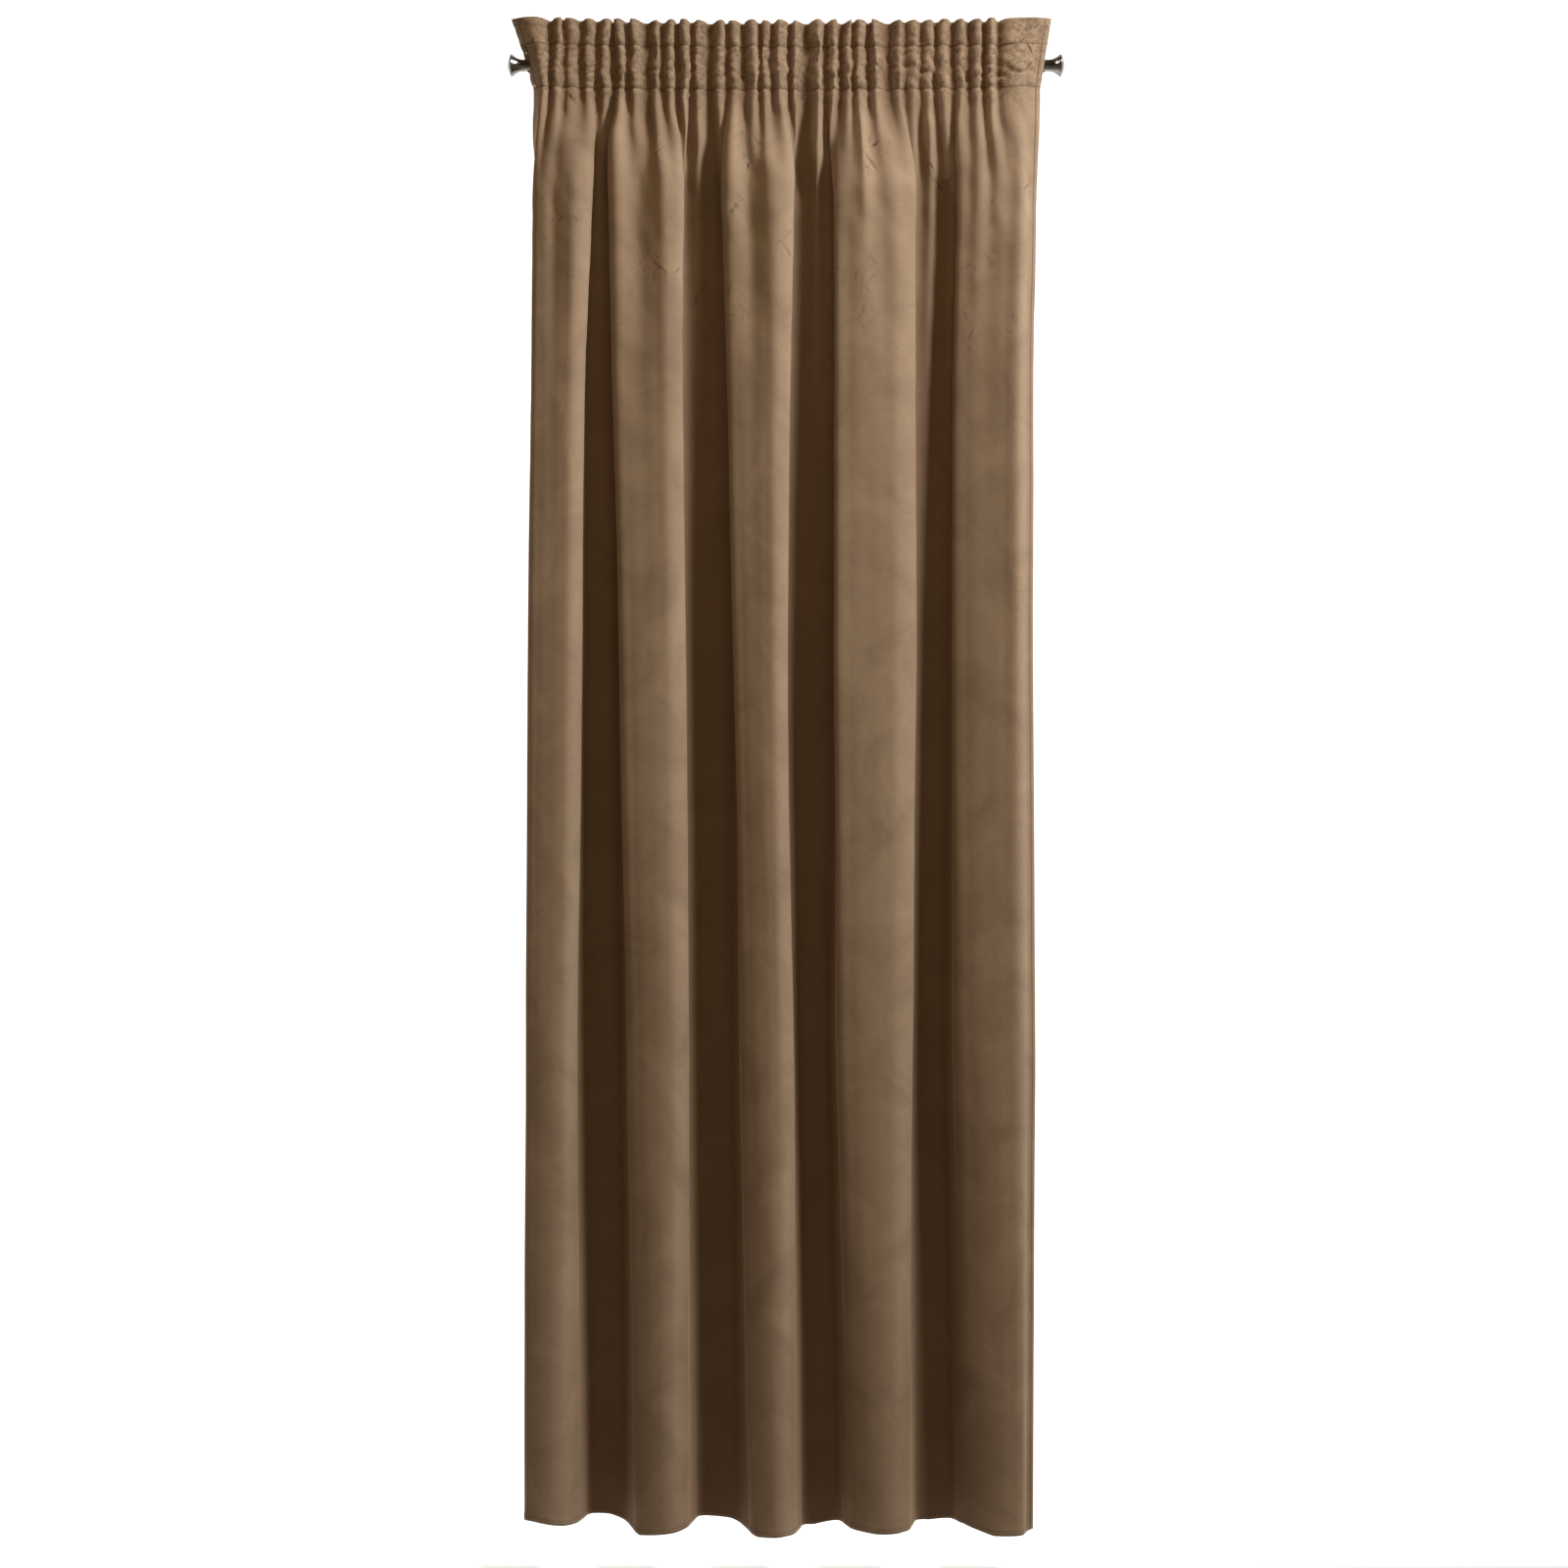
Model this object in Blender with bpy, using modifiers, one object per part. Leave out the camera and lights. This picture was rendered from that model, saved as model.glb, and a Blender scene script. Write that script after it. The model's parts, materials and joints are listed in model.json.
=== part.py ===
# A gathered velvet curtain panel on a metal pole, hung by the webbing loops of its heading tape.
# Metres, +Z up. The origin is on the pole's axis at mid-length, the room is at -Y and the wall at +Y.

from math import acos, atan2, cos, hypot, pi, radians, sin

import bmesh
import bpy

FIT_GAP = 0.0003                # kept between pieces that touch
TURN_STEPS = 32

# Pole and finials
POLE_DIAMETER = 0.016
POLE_WALL = 0.001
POLE_OVERHANG = 0.017           # from the velvet's edge to the pole's end, at each side
COLLAR_DIAMETER = 0.0206
COLLAR_LENGTH = 0.030           # how far the finial's collar reaches over the pole
FLARE_LENGTH = 0.0205
RIM_DIAMETER = 0.040
RIM_EDGE = 0.0015
DOME_HEIGHT = 0.006
DOME_STEPS = 6
FLARE_STEPS = 8
FLARE_BEND = 1.15               # how sharply the flare turns out to its rim
BORE_CLEARANCE = 0.0003         # between the pole and the collar, on the radius
COLLAR_CHAMFER = 0.0008

# Grub screws, under the collars
GRUB_DIAMETER = 0.0038
GRUB_LENGTH = 0.0040
GRUB_INSET = 0.009              # from the pole's end to the screw's axis
GRUB_CLEARANCE = 0.0004         # between the screw and its hole, on the radius
GRUB_SIDES = 16
GRUB_HOLE_SIDES = 24
SOCKET_ACROSS = 0.0020
SOCKET_DEPTH = 0.0015
SOCKET_SIDES = 6

# Velvet panel as it hangs
HUNG_WIDTH = 0.906
HEADING_FLARE = 0.0275          # how far each end of the frill's top stands out past the hung width
FRILL_HEIGHT = 0.044            # from the upper stitch row to the top edge
UPPER_ROW = 0.035               # stitch rows' heights from the pole's axis
LOWER_ROW = -0.044
HEM_HEIGHT = -2.610
CLOTH_THICKNESS = 0.0012
LEFT_FLAT = 0.031               # unpleated width at each end of the heading, at its lower row
RIGHT_FLAT = 0.073
PLEATS = 28
PLEAT_DEPTH = 0.016
PLEATS_END = -0.42              # the height where the pleats have run out into the folds
FOLDS = 5
FOLD_DEPTH = 0.108
FOLDS_FULL = -0.50              # the height where the folds reach their whole depth
FOLD_SETBACK = 0.0038           # of the folds' middle behind the pole's axis, which balances the heading
COLUMNS_PER_PLEAT = 4
BODY_ROWS = (-0.12, -0.20, -0.30, PLEATS_END, FOLDS_FULL, (FOLDS_FULL + HEM_HEIGHT) / 2)

# Heading tape, its draw cords and its pole loops
TAPE_THICKNESS = 0.0006
TAPE_TO_POLE = 0.0025
TAPE_TO_CLOTH = 0.0026          # between middle surfaces, straight back, so that the flanks stay clear
CORD_HEIGHTS = {"upper": 0.030, "middle": 0.019, "lower": -0.0395}
CORD_DIAMETER = 0.0020
KNOT_DIAMETER = 0.0055
KNOT_LENGTH = 0.006
KNOT_PROFILE = ((0, 1), (0.7, 0.9), (1, 0.5), (0.7, 0.1))   # shares of its radius and its length
CORD_STEPS = 10
CORD_OVERRUN = 0.003            # from the tape's end to the knot
PLEATS_PER_LOOP = 2
LOOP_WIDTH = 0.012
LOOP_THICKNESS = 0.0008
LOOP_TAB = 0.008                # sewn length at each end of a loop
LOOP_TOP = 0.008                # where the upper tab leaves the tape
LOOP_BOTTOM = -0.027            # where the lower tab meets the tape
LOOP_ARC_STEPS = 6

POLE_LENGTH = HUNG_WIDTH + 2 * POLE_OVERHANG
HEADING_WIDTH = HUNG_WIDTH + 2 * HEADING_FLARE
TAPE_REAR = -(POLE_DIAMETER / 2 + TAPE_TO_POLE)
TAPE_MIDDLE = TAPE_REAR - TAPE_THICKNESS / 2
PLEATS_START = LEFT_FLAT - HUNG_WIDTH / 2
PLEAT_PITCH = (HUNG_WIDTH - LEFT_FLAT - RIGHT_FLAT) / PLEATS
LAST_COLUMN = PLEATS * COLUMNS_PER_PLEAT + 1
LOOPS = PLEATS // PLEATS_PER_LOOP + 1
FRILL_TOP = UPPER_ROW + FRILL_HEIGHT


def clear_scene():
    for obj in list(bpy.data.objects):
        bpy.data.objects.remove(obj)


def new_collection(name):
    collection = bpy.data.collections.new(name)
    bpy.context.scene.collection.children.link(collection)
    return collection


def new_material(name, colour, roughness, metallic=0.0):
    material = bpy.data.materials.new(name)
    material.use_nodes = True
    shader = material.node_tree.nodes["Principled BSDF"]
    shader.inputs["Base Color"].default_value = (*colour, 1)
    shader.inputs["Roughness"].default_value = roughness
    shader.inputs["Metallic"].default_value = metallic
    return material


def add_object(name, mesh, material, parent=None):
    obj = bpy.data.objects.new(name, mesh)
    parts.objects.link(obj)
    obj.parent = parent
    mesh.materials.append(material)
    return obj


def add_joint_empty(name, location, parent=None):
    empty = bpy.data.objects.new(name, None)
    empty.location = location
    empty.parent = parent
    empty.empty_display_size = 0.03
    parts.objects.link(empty)
    return empty


def profile_mesh(name, points, closed=False):
    """A chain of edges through (radius, height) points, for a Screw modifier about Z."""
    bm = bmesh.new()
    verts = [bm.verts.new((radius, 0, height)) for radius, height in points]
    for first, second in zip(verts, verts[1:]):
        bm.edges.new((first, second))
    if closed:
        bm.edges.new((verts[-1], verts[0]))
    mesh = bpy.data.meshes.new(name)
    bm.to_mesh(mesh)
    bm.free()
    return mesh


def add_turned(name, points, material, parent=None, closed=False, steps=TURN_STEPS):
    obj = add_object(name, profile_mesh(name, points, closed), material, parent)
    screw = obj.modifiers.new("Turn", "SCREW")
    screw.steps = steps
    screw.render_steps = steps
    screw.use_merge_vertices = True
    screw.merge_threshold = 0.00001
    screw.use_smooth_shade = True
    return obj


def cylinder_cutter(name, radius, depth, segments):
    bm = bmesh.new()
    bmesh.ops.create_cone(
        bm, cap_ends=True, segments=segments, radius1=radius, radius2=radius, depth=depth
    )
    mesh = bpy.data.meshes.new(name)
    bm.to_mesh(mesh)
    bm.free()
    obj = bpy.data.objects.new(name, mesh)
    cutters.objects.link(obj)
    obj.hide_render = True
    obj.display_type = "WIRE"
    return obj


def cut(obj, cutter):
    boolean = obj.modifiers.new("Cut " + cutter.name, "BOOLEAN")
    boolean.operation = "DIFFERENCE"
    boolean.object = cutter


def make_pole():
    outer = POLE_DIAMETER / 2
    inner = outer - POLE_WALL
    half = POLE_LENGTH / 2
    ring = [(outer, half), (outer, -half), (inner, -half), (inner, half)]
    pole = add_turned("pole_tube", ring, steel, closed=True)
    pole.rotation_euler = (0, radians(90), 0)


def finial_profile():
    """From the dome's top down the outside to the collar's end, and back up the bore."""
    collar = COLLAR_DIAMETER / 2
    rim = RIM_DIAMETER / 2
    bore = POLE_DIAMETER / 2 + BORE_CLEARANCE
    flare_start = COLLAR_LENGTH
    rim_back = flare_start + FLARE_LENGTH
    rim_front = rim_back + RIM_EDGE
    dome_radius = (rim**2 + DOME_HEIGHT**2) / (2 * DOME_HEIGHT)
    dome_centre = rim_front + DOME_HEIGHT - dome_radius
    dome_angle = acos((rim_front - dome_centre) / dome_radius)
    points = []
    for step in range(DOME_STEPS + 1):
        angle = dome_angle * step / DOME_STEPS
        points.append((dome_radius * sin(angle), dome_centre + dome_radius * cos(angle)))
    for step in range(FLARE_STEPS + 1):
        share = step / FLARE_STEPS
        radius = collar + (rim - collar) * (1 - sin(share * pi / 2)) ** FLARE_BEND
        points.append((radius, rim_back - FLARE_LENGTH * share))
    points.append((collar, COLLAR_CHAMFER))
    points.append((collar - COLLAR_CHAMFER, 0))
    points.append((bore, 0))
    points.append((bore, COLLAR_LENGTH + FIT_GAP))
    points.append((0, COLLAR_LENGTH + FIT_GAP))
    return points


def make_finial(side, direction):
    empty = add_joint_empty(f"finial_{side}_slide", (direction * POLE_LENGTH / 2, 0, 0))
    finial = add_turned(f"finial_{side}", finial_profile(), nickel, empty)
    finial.rotation_euler = (0, direction * radians(90), 0)
    finial.location = (-direction * COLLAR_LENGTH, 0, 0)

    screw_x = -direction * GRUB_INSET
    tip = POLE_DIAMETER / 2 + FIT_GAP
    hole = cylinder_cutter(
        f"grub_hole_{side}", GRUB_DIAMETER / 2 + GRUB_CLEARANCE, COLLAR_DIAMETER, GRUB_HOLE_SIDES
    )
    hole.parent = empty
    hole.location = (screw_x, 0, -COLLAR_DIAMETER / 2 - FIT_GAP)
    cut(finial, hole)

    bm = bmesh.new()
    bmesh.ops.create_cone(
        bm,
        cap_ends=True,
        segments=GRUB_SIDES,
        radius1=GRUB_DIAMETER / 2,
        radius2=GRUB_DIAMETER / 2,
        depth=GRUB_LENGTH,
    )
    mesh = bpy.data.meshes.new(f"grub_screw_{side}")
    bm.to_mesh(mesh)
    bm.free()
    grub = add_object(f"grub_screw_{side}", mesh, steel, empty)
    grub.location = (screw_x, 0, -tip - GRUB_LENGTH / 2)
    socket = cylinder_cutter(f"grub_socket_{side}", SOCKET_ACROSS / 2, 2 * SOCKET_DEPTH, SOCKET_SIDES)
    socket.parent = empty
    socket.location = (screw_x, 0, -tip - GRUB_LENGTH)
    cut(grub, socket)


def ramp(height, start, end):
    """0 above start and 1 below end, turning smoothly between them."""
    share = min(1, max(0, (start - height) / (start - end)))
    return share * share * (3 - 2 * share)


def half_width(height):
    flare = max(0, (height - LOWER_ROW) / (FRILL_TOP - LOWER_ROW))
    return (HUNG_WIDTH + (HEADING_WIDTH - HUNG_WIDTH) * flare) / 2


def column_place(column):
    """A column's place, -1 at the left edge to 1 at the right, and 1 or -1 for a pleat's front or rear."""
    if column in (0, LAST_COLUMN):
        return (-1, 0) if column == 0 else (1, 0)
    pleat = (column - 0.5) / COLUMNS_PER_PLEAT
    wave = -cos(2 * pi * pleat)
    return (PLEATS_START + pleat * PLEAT_PITCH) / (HUNG_WIDTH / 2), round(wave * 2**0.5)


def cloth_point(column, height):
    """The velvet's middle surface at one column of its grid, from the left edge to the right."""
    place, wave = column_place(column)
    pleats = 1 - ramp(height, LOWER_ROW, PLEATS_END)
    folds = ramp(height, LOWER_ROW, FOLDS_FULL)
    across = place * (half_width(height) if abs(place) == 1 else HUNG_WIDTH / 2)
    heading_y = TAPE_MIDDLE - TAPE_TO_CLOTH - PLEAT_DEPTH / 2
    depth = heading_y * (1 - folds) + FOLD_SETBACK * folds
    depth -= pleats * PLEAT_DEPTH / 2 * wave
    depth += folds * FOLD_DEPTH / 2 * cos(pi * FOLDS * (place + 1))
    return across, depth, height


def tape_point(column, height):
    across, depth, height = cloth_point(column, height)
    return across, depth + TAPE_TO_CLOTH, height


def shaped_grid(name, rows, place_point):
    """A grid primitive whose lines of points lie at the heights in rows, put in place by a formula."""
    bm = bmesh.new()
    bmesh.ops.create_grid(bm, x_segments=LAST_COLUMN, y_segments=len(rows) - 1, size=0.5)
    for vert in bm.verts:
        column = round((vert.co.x + 0.5) * LAST_COLUMN)
        row = round((0.5 - vert.co.y) * (len(rows) - 1))
        vert.co = place_point(column, rows[row])
    bmesh.ops.recalc_face_normals(bm, faces=bm.faces)
    mesh = bpy.data.meshes.new(name)
    bm.to_mesh(mesh)
    bm.free()
    return mesh


def thicken(obj, thickness):
    solidify = obj.modifiers.new("Thickness", "SOLIDIFY")
    solidify.thickness = thickness
    solidify.offset = 0
    solidify.use_even_offset = True


def make_velvet():
    rows = (FRILL_TOP, UPPER_ROW, LOWER_ROW, *BODY_ROWS, HEM_HEIGHT)
    panel = add_object("velvet_panel", shaped_grid("velvet_panel", rows, cloth_point), velvet, swing)
    thicken(panel, CLOTH_THICKNESS)


def make_tape():
    mesh = shaped_grid("heading_tape", (UPPER_ROW, LOWER_ROW), tape_point)
    tape = add_object("heading_tape", mesh, webbing, swing)
    thicken(tape, TAPE_THICKNESS)


def make_cord(name, height):
    """A cord pulled straight behind the pleats, with a knot at each end."""
    radius = CORD_DIAMETER / 2
    reach = half_width(height) + CORD_OVERRUN
    knotted = [(r * KNOT_DIAMETER / 2, z * KNOT_LENGTH) for r, z in KNOT_PROFILE] + [(radius, 0)]
    points = [(r, reach + z) for r, z in knotted]
    points += [(r, -reach - z) for r, z in reversed(knotted)]
    cord = add_turned(name, points, cotton, swing, steps=CORD_STEPS)
    cord.rotation_euler = (0, radians(90), 0)
    cord.location = (0, TAPE_REAR + FIT_GAP + radius, height)


def tangent_angle(y, z, radius, side):
    """Where a straight line from (y, z) touches the circle round the pole, as an angle from +Y."""
    return atan2(z, y) + side * acos(radius / hypot(y, z))


def loop_path():
    """The band in the YZ plane: down the tape, over the pole, round its back and to the tape again."""
    radius = POLE_DIAMETER / 2 + FIT_GAP + LOOP_THICKNESS / 2
    front = TAPE_REAR + FIT_GAP + LOOP_THICKNESS / 2
    first = tangent_angle(front, LOOP_TOP, radius, -1)
    last = tangent_angle(front, LOOP_BOTTOM, radius, 1)
    path = [(front, LOOP_TOP + LOOP_TAB), (front, LOOP_TOP)]
    clear_radius = radius / cos((first - last) / LOOP_ARC_STEPS / 2)    # the chords stay clear too
    for step in range(LOOP_ARC_STEPS + 1):
        angle = first + (last - first) * step / LOOP_ARC_STEPS
        path.append((clear_radius * cos(angle), clear_radius * sin(angle)))
    path += [(front, LOOP_BOTTOM), (front, LOOP_BOTTOM - LOOP_TAB)]
    return path


def loop_mesh():
    """The band as a curve extruded to its width, made a mesh for its thickness."""
    curve = bpy.data.curves.new("loop_path", "CURVE")
    curve.dimensions = "2D"
    curve.fill_mode = "NONE"
    curve.extrude = LOOP_WIDTH / 2
    path = loop_path()
    spline = curve.splines.new("POLY")
    spline.points.add(len(path) - 1)
    for point, (y, z) in zip(spline.points, path):
        point.co = (y, z, 0, 1)
    guide = bpy.data.objects.new("loop_path", curve)
    cutters.objects.link(guide)
    graph = bpy.context.evaluated_depsgraph_get()
    mesh = bpy.data.meshes.new_from_object(guide.evaluated_get(graph))
    bpy.data.objects.remove(guide)
    return mesh


def make_loops():
    mesh = loop_mesh()
    for index in range(LOOPS):
        loop = add_object(f"pole_loop_{index + 1:02d}", mesh.copy(), webbing, swing)
        loop.rotation_euler = (radians(90), 0, radians(90))
        loop.location = (PLEATS_START + index * PLEATS_PER_LOOP * PLEAT_PITCH, 0, 0)
        thicken(loop, LOOP_THICKNESS)


clear_scene()
parts = new_collection("velvet_curtain_panel")
cutters = new_collection("cutters")

velvet = new_material("brown_velvet", (0.26, 0.17, 0.10), 0.75)
webbing = new_material("white_webbing", (0.80, 0.78, 0.72), 0.85)
cotton = new_material("white_cord", (0.85, 0.84, 0.80), 0.8)
nickel = new_material("polished_nickel", (0.66, 0.63, 0.59), 0.15, 1.0)
steel = new_material("brushed_steel", (0.60, 0.58, 0.56), 0.3, 1.0)

swing = add_joint_empty("panel_swing", (0, 0, 0))
make_pole()
make_finial("left", -1)
make_finial("right", 1)
make_velvet()
make_tape()
for cord_name, cord_height in CORD_HEIGHTS.items():
    make_cord(f"draw_cord_{cord_name}", cord_height)
make_loops()
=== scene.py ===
import json
from math import acos, atan2, cos, exp, hypot, pi, radians, sin

import bpy
import numpy as np
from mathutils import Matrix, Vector, bvhtree, noise


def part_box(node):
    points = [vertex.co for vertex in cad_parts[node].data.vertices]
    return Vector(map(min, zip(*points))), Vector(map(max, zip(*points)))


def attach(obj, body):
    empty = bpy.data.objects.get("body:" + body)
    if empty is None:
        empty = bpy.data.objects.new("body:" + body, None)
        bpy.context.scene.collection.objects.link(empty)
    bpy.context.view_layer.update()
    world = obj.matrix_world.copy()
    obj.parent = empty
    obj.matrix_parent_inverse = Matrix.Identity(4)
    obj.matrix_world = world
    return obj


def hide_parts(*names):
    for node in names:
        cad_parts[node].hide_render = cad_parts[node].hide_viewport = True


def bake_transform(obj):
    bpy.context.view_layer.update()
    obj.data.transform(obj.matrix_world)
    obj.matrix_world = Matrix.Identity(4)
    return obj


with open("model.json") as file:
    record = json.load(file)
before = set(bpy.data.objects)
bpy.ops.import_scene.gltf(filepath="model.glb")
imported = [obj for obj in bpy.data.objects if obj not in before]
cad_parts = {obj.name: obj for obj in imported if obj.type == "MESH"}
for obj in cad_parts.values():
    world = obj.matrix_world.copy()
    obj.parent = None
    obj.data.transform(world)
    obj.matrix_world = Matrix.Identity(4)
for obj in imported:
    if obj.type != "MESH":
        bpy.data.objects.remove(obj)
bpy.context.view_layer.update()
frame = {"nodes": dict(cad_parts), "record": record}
random = np.random.default_rng(29)

velvetLow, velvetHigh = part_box("velvet_panel")
tapeLow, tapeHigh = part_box("heading_tape")
poleLow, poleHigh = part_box("pole_tube")
poleRadius = poleHigh.z
frillTop = velvetHigh.z
hemHeight = velvetLow.z
sharpAngle = radians(32)        # metal edges sharper than this stay crisp
loopNames = sorted(name for name in frame["nodes"] if name.startswith("pole_loop_"))
loopCentres = [(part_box(name)[0].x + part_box(name)[1].x) / 2 for name in loopNames]


def smoothStep(value, low, high):
    share = np.clip((value - low) / (high - low), 0, 1)
    return share * share * (3 - 2 * share)


def bump(value, centre, width):
    return np.exp(-(((value - centre) / width) ** 2))


def throughHeights(values, height, heights, spread=0.16):
    # values given at a few heights, read at any height with the corners rounded off
    steps = np.linspace(-1, 1, 9)
    weights = 1 - np.abs(steps) * 0.9
    read = [np.interp(-(height + step * spread), [-h for h in heights], values) for step in steps]
    return float(np.dot(read, weights) / weights.sum())


def curveThrough(points, samples=900):
    # a smooth line through the points, evenly spaced along its length, and how far along it each point is
    points = np.array(points, float)
    ends = np.vstack([2 * points[0] - points[1], points, 2 * points[-1] - points[-2]])
    knots = np.concatenate([[0], np.cumsum(np.linalg.norm(np.diff(ends, axis=0), axis=1) ** 0.5)])
    line = []
    steps = 24
    for i in range(1, len(ends) - 2):
        t = np.linspace(knots[i], knots[i + 1], steps, endpoint=False)[:, None]
        a1 = ends[i - 1] + (ends[i] - ends[i - 1]) * (t - knots[i - 1]) / (knots[i] - knots[i - 1])
        a2 = ends[i] + (ends[i + 1] - ends[i]) * (t - knots[i]) / (knots[i + 1] - knots[i])
        a3 = ends[i + 1] + (ends[i + 2] - ends[i + 1]) * (t - knots[i + 1]) / (knots[i + 2] - knots[i + 1])
        b1 = a1 + (a2 - a1) * (t - knots[i - 1]) / (knots[i + 1] - knots[i - 1])
        b2 = a2 + (a3 - a2) * (t - knots[i]) / (knots[i + 2] - knots[i])
        line.append(b1 + (b2 - b1) * (t - knots[i]) / (knots[i + 1] - knots[i]))
    line = np.vstack([*line, points[-1:]])
    lengths = np.concatenate([[0], np.cumsum(np.linalg.norm(np.diff(line, axis=0), axis=1))])
    even = np.linspace(0, lengths[-1], samples)
    return np.stack([np.interp(even, lengths, line[:, k]) for k in range(2)], 1), lengths[::steps]


def meshPiece(name, points, faces):
    mesh = bpy.data.meshes.new(name)
    mesh.from_pydata([tuple(p) for p in points], [], [tuple(f) for f in faces])
    mesh.update()
    piece = bpy.data.objects.new(name, mesh)
    bpy.context.scene.collection.objects.link(piece)
    mesh.shade_smooth()
    return piece


def deselectAll():
    if bpy.context.mode != "OBJECT":
        bpy.ops.object.mode_set(mode="OBJECT")
    bpy.ops.object.select_all(action="DESELECT")


def pickOnly(piece):
    deselectAll()
    piece.select_set(True)
    bpy.context.view_layer.objects.active = piece


def applyAll(piece):
    pickOnly(piece)
    for modifier in list(piece.modifiers):
        bpy.ops.object.modifier_apply(modifier=modifier.name)


def placeInMesh(piece):
    pickOnly(piece)
    bpy.ops.object.transform_apply(location=True, rotation=True, scale=True)


def normalsOutwards(piece):
    pickOnly(piece)
    bpy.ops.object.mode_set(mode="EDIT")
    bpy.ops.mesh.select_all(action="SELECT")
    bpy.ops.mesh.normals_make_consistent(inside=False)
    bpy.ops.object.mode_set(mode="OBJECT")


def cutWith(piece, tool, name):
    # a Boolean that is applied with the piece's other modifiers, after which the tool is thrown away
    cut = piece.modifiers.new(name, "BOOLEAN")
    cut.operation = "DIFFERENCE"
    cut.object = tool
    applyAll(piece)
    bpy.data.objects.remove(tool)
    pickOnly(piece)
    bpy.ops.object.shade_smooth_by_angle(angle=sharpAngle)


def wear(piece, *materials):
    piece.data.materials.clear()
    for material in materials:
        piece.data.materials.append(material)


def linearColour(hexColour):
    parts = [int(hexColour[k:k + 2], 16) / 255 for k in (1, 3, 5)]
    return (*[p / 12.92 if p <= 0.04045 else ((p + 0.055) / 1.055) ** 2.4 for p in parts], 1)


def feed(tree, socket, value):
    # a value, or a (node, output) pair to link from
    if isinstance(value, tuple) and isinstance(value[0], bpy.types.Node):
        tree.links.new(value[0].outputs[value[1]], socket)
    else:
        socket.default_value = value


def addNode(tree, kind, settings=None, inputs=None):
    node = tree.nodes.new("ShaderNode" + kind)
    for key, value in (settings or {}).items():
        setattr(node, key, value)
    for key, value in (inputs or {}).items():
        feed(tree, node.inputs[key], value)
    return node


def setStops(ramp, *stops):
    # each stop of a colour ramp as (place, colour)
    for element, (place, colour) in zip(ramp.color_ramp.elements, stops):
        element.position = place
        element.color = linearColour(colour)


def newMaterial(name):
    material = bpy.data.materials.new(name)
    material.use_nodes = True
    tree = material.node_tree
    tree.nodes.remove(tree.nodes["Principled BSDF"])
    shader = addNode(tree, "BsdfPrincipled")
    tree.links.new(shader.outputs[0], tree.nodes["Material Output"].inputs[0])
    return material, tree, shader


def setShader(tree, shader, **inputs):
    for key, value in inputs.items():
        feed(tree, shader.inputs[key.replace("_", " ")], value)


flatWidth, flatHeight = 1.43, 2.76      # the velvet before it is gathered and its hems are turned
velvet = {
    "thickness": 0.0012,        # pile and ground together
    "hemThickness": 0.0026,
    "sideHem": 0.011,
    "bottomHem": 0.010,
    "turnDown": 0.046,
    "seamInset": 0.0015,        # from the edge that a seam holds down to its thread
}
seamsAcross = (velvet["sideHem"] - velvet["seamInset"], flatWidth - velvet["sideHem"] + velvet["seamInset"])
seamsUp = (tapeHigh.z - velvet["seamInset"], tapeLow.z + velvet["seamInset"])

velvetLook = {
    "crushed": "#47321f",       # pile pressed flat, which no longer catches the light
    "hollow": "#4d3826",        # painted shade, deep in the folds and between the heading's pleats
    "body": "#75614e",
    "raised": "#8e7964",        # pile brushed towards the light
    "sheenTint": "#d8b896",
    "patchSize": 0.11,          # metres across a brushed patch
    "ribSpacing": 0.0032,       # the weft shows as faint level streaks, drawn three times as coarse as woven
    "tufts": 900.0,             # to the metre
    "mottles": 70.0,
    "sewnHalf": 0.0007,         # the pile lies flat this far to each side of a thread,
    "sewnFade": 0.0024,         # and stands again from here
    # crush marks: which way they lie, in degrees, their length and width, and how rare they are
    "crushes": ((-48, 0.060, 0.011, 0.60), (33, 0.050, 0.010, 0.61), (74, 0.045, 0.013, 0.61)),
}


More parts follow.
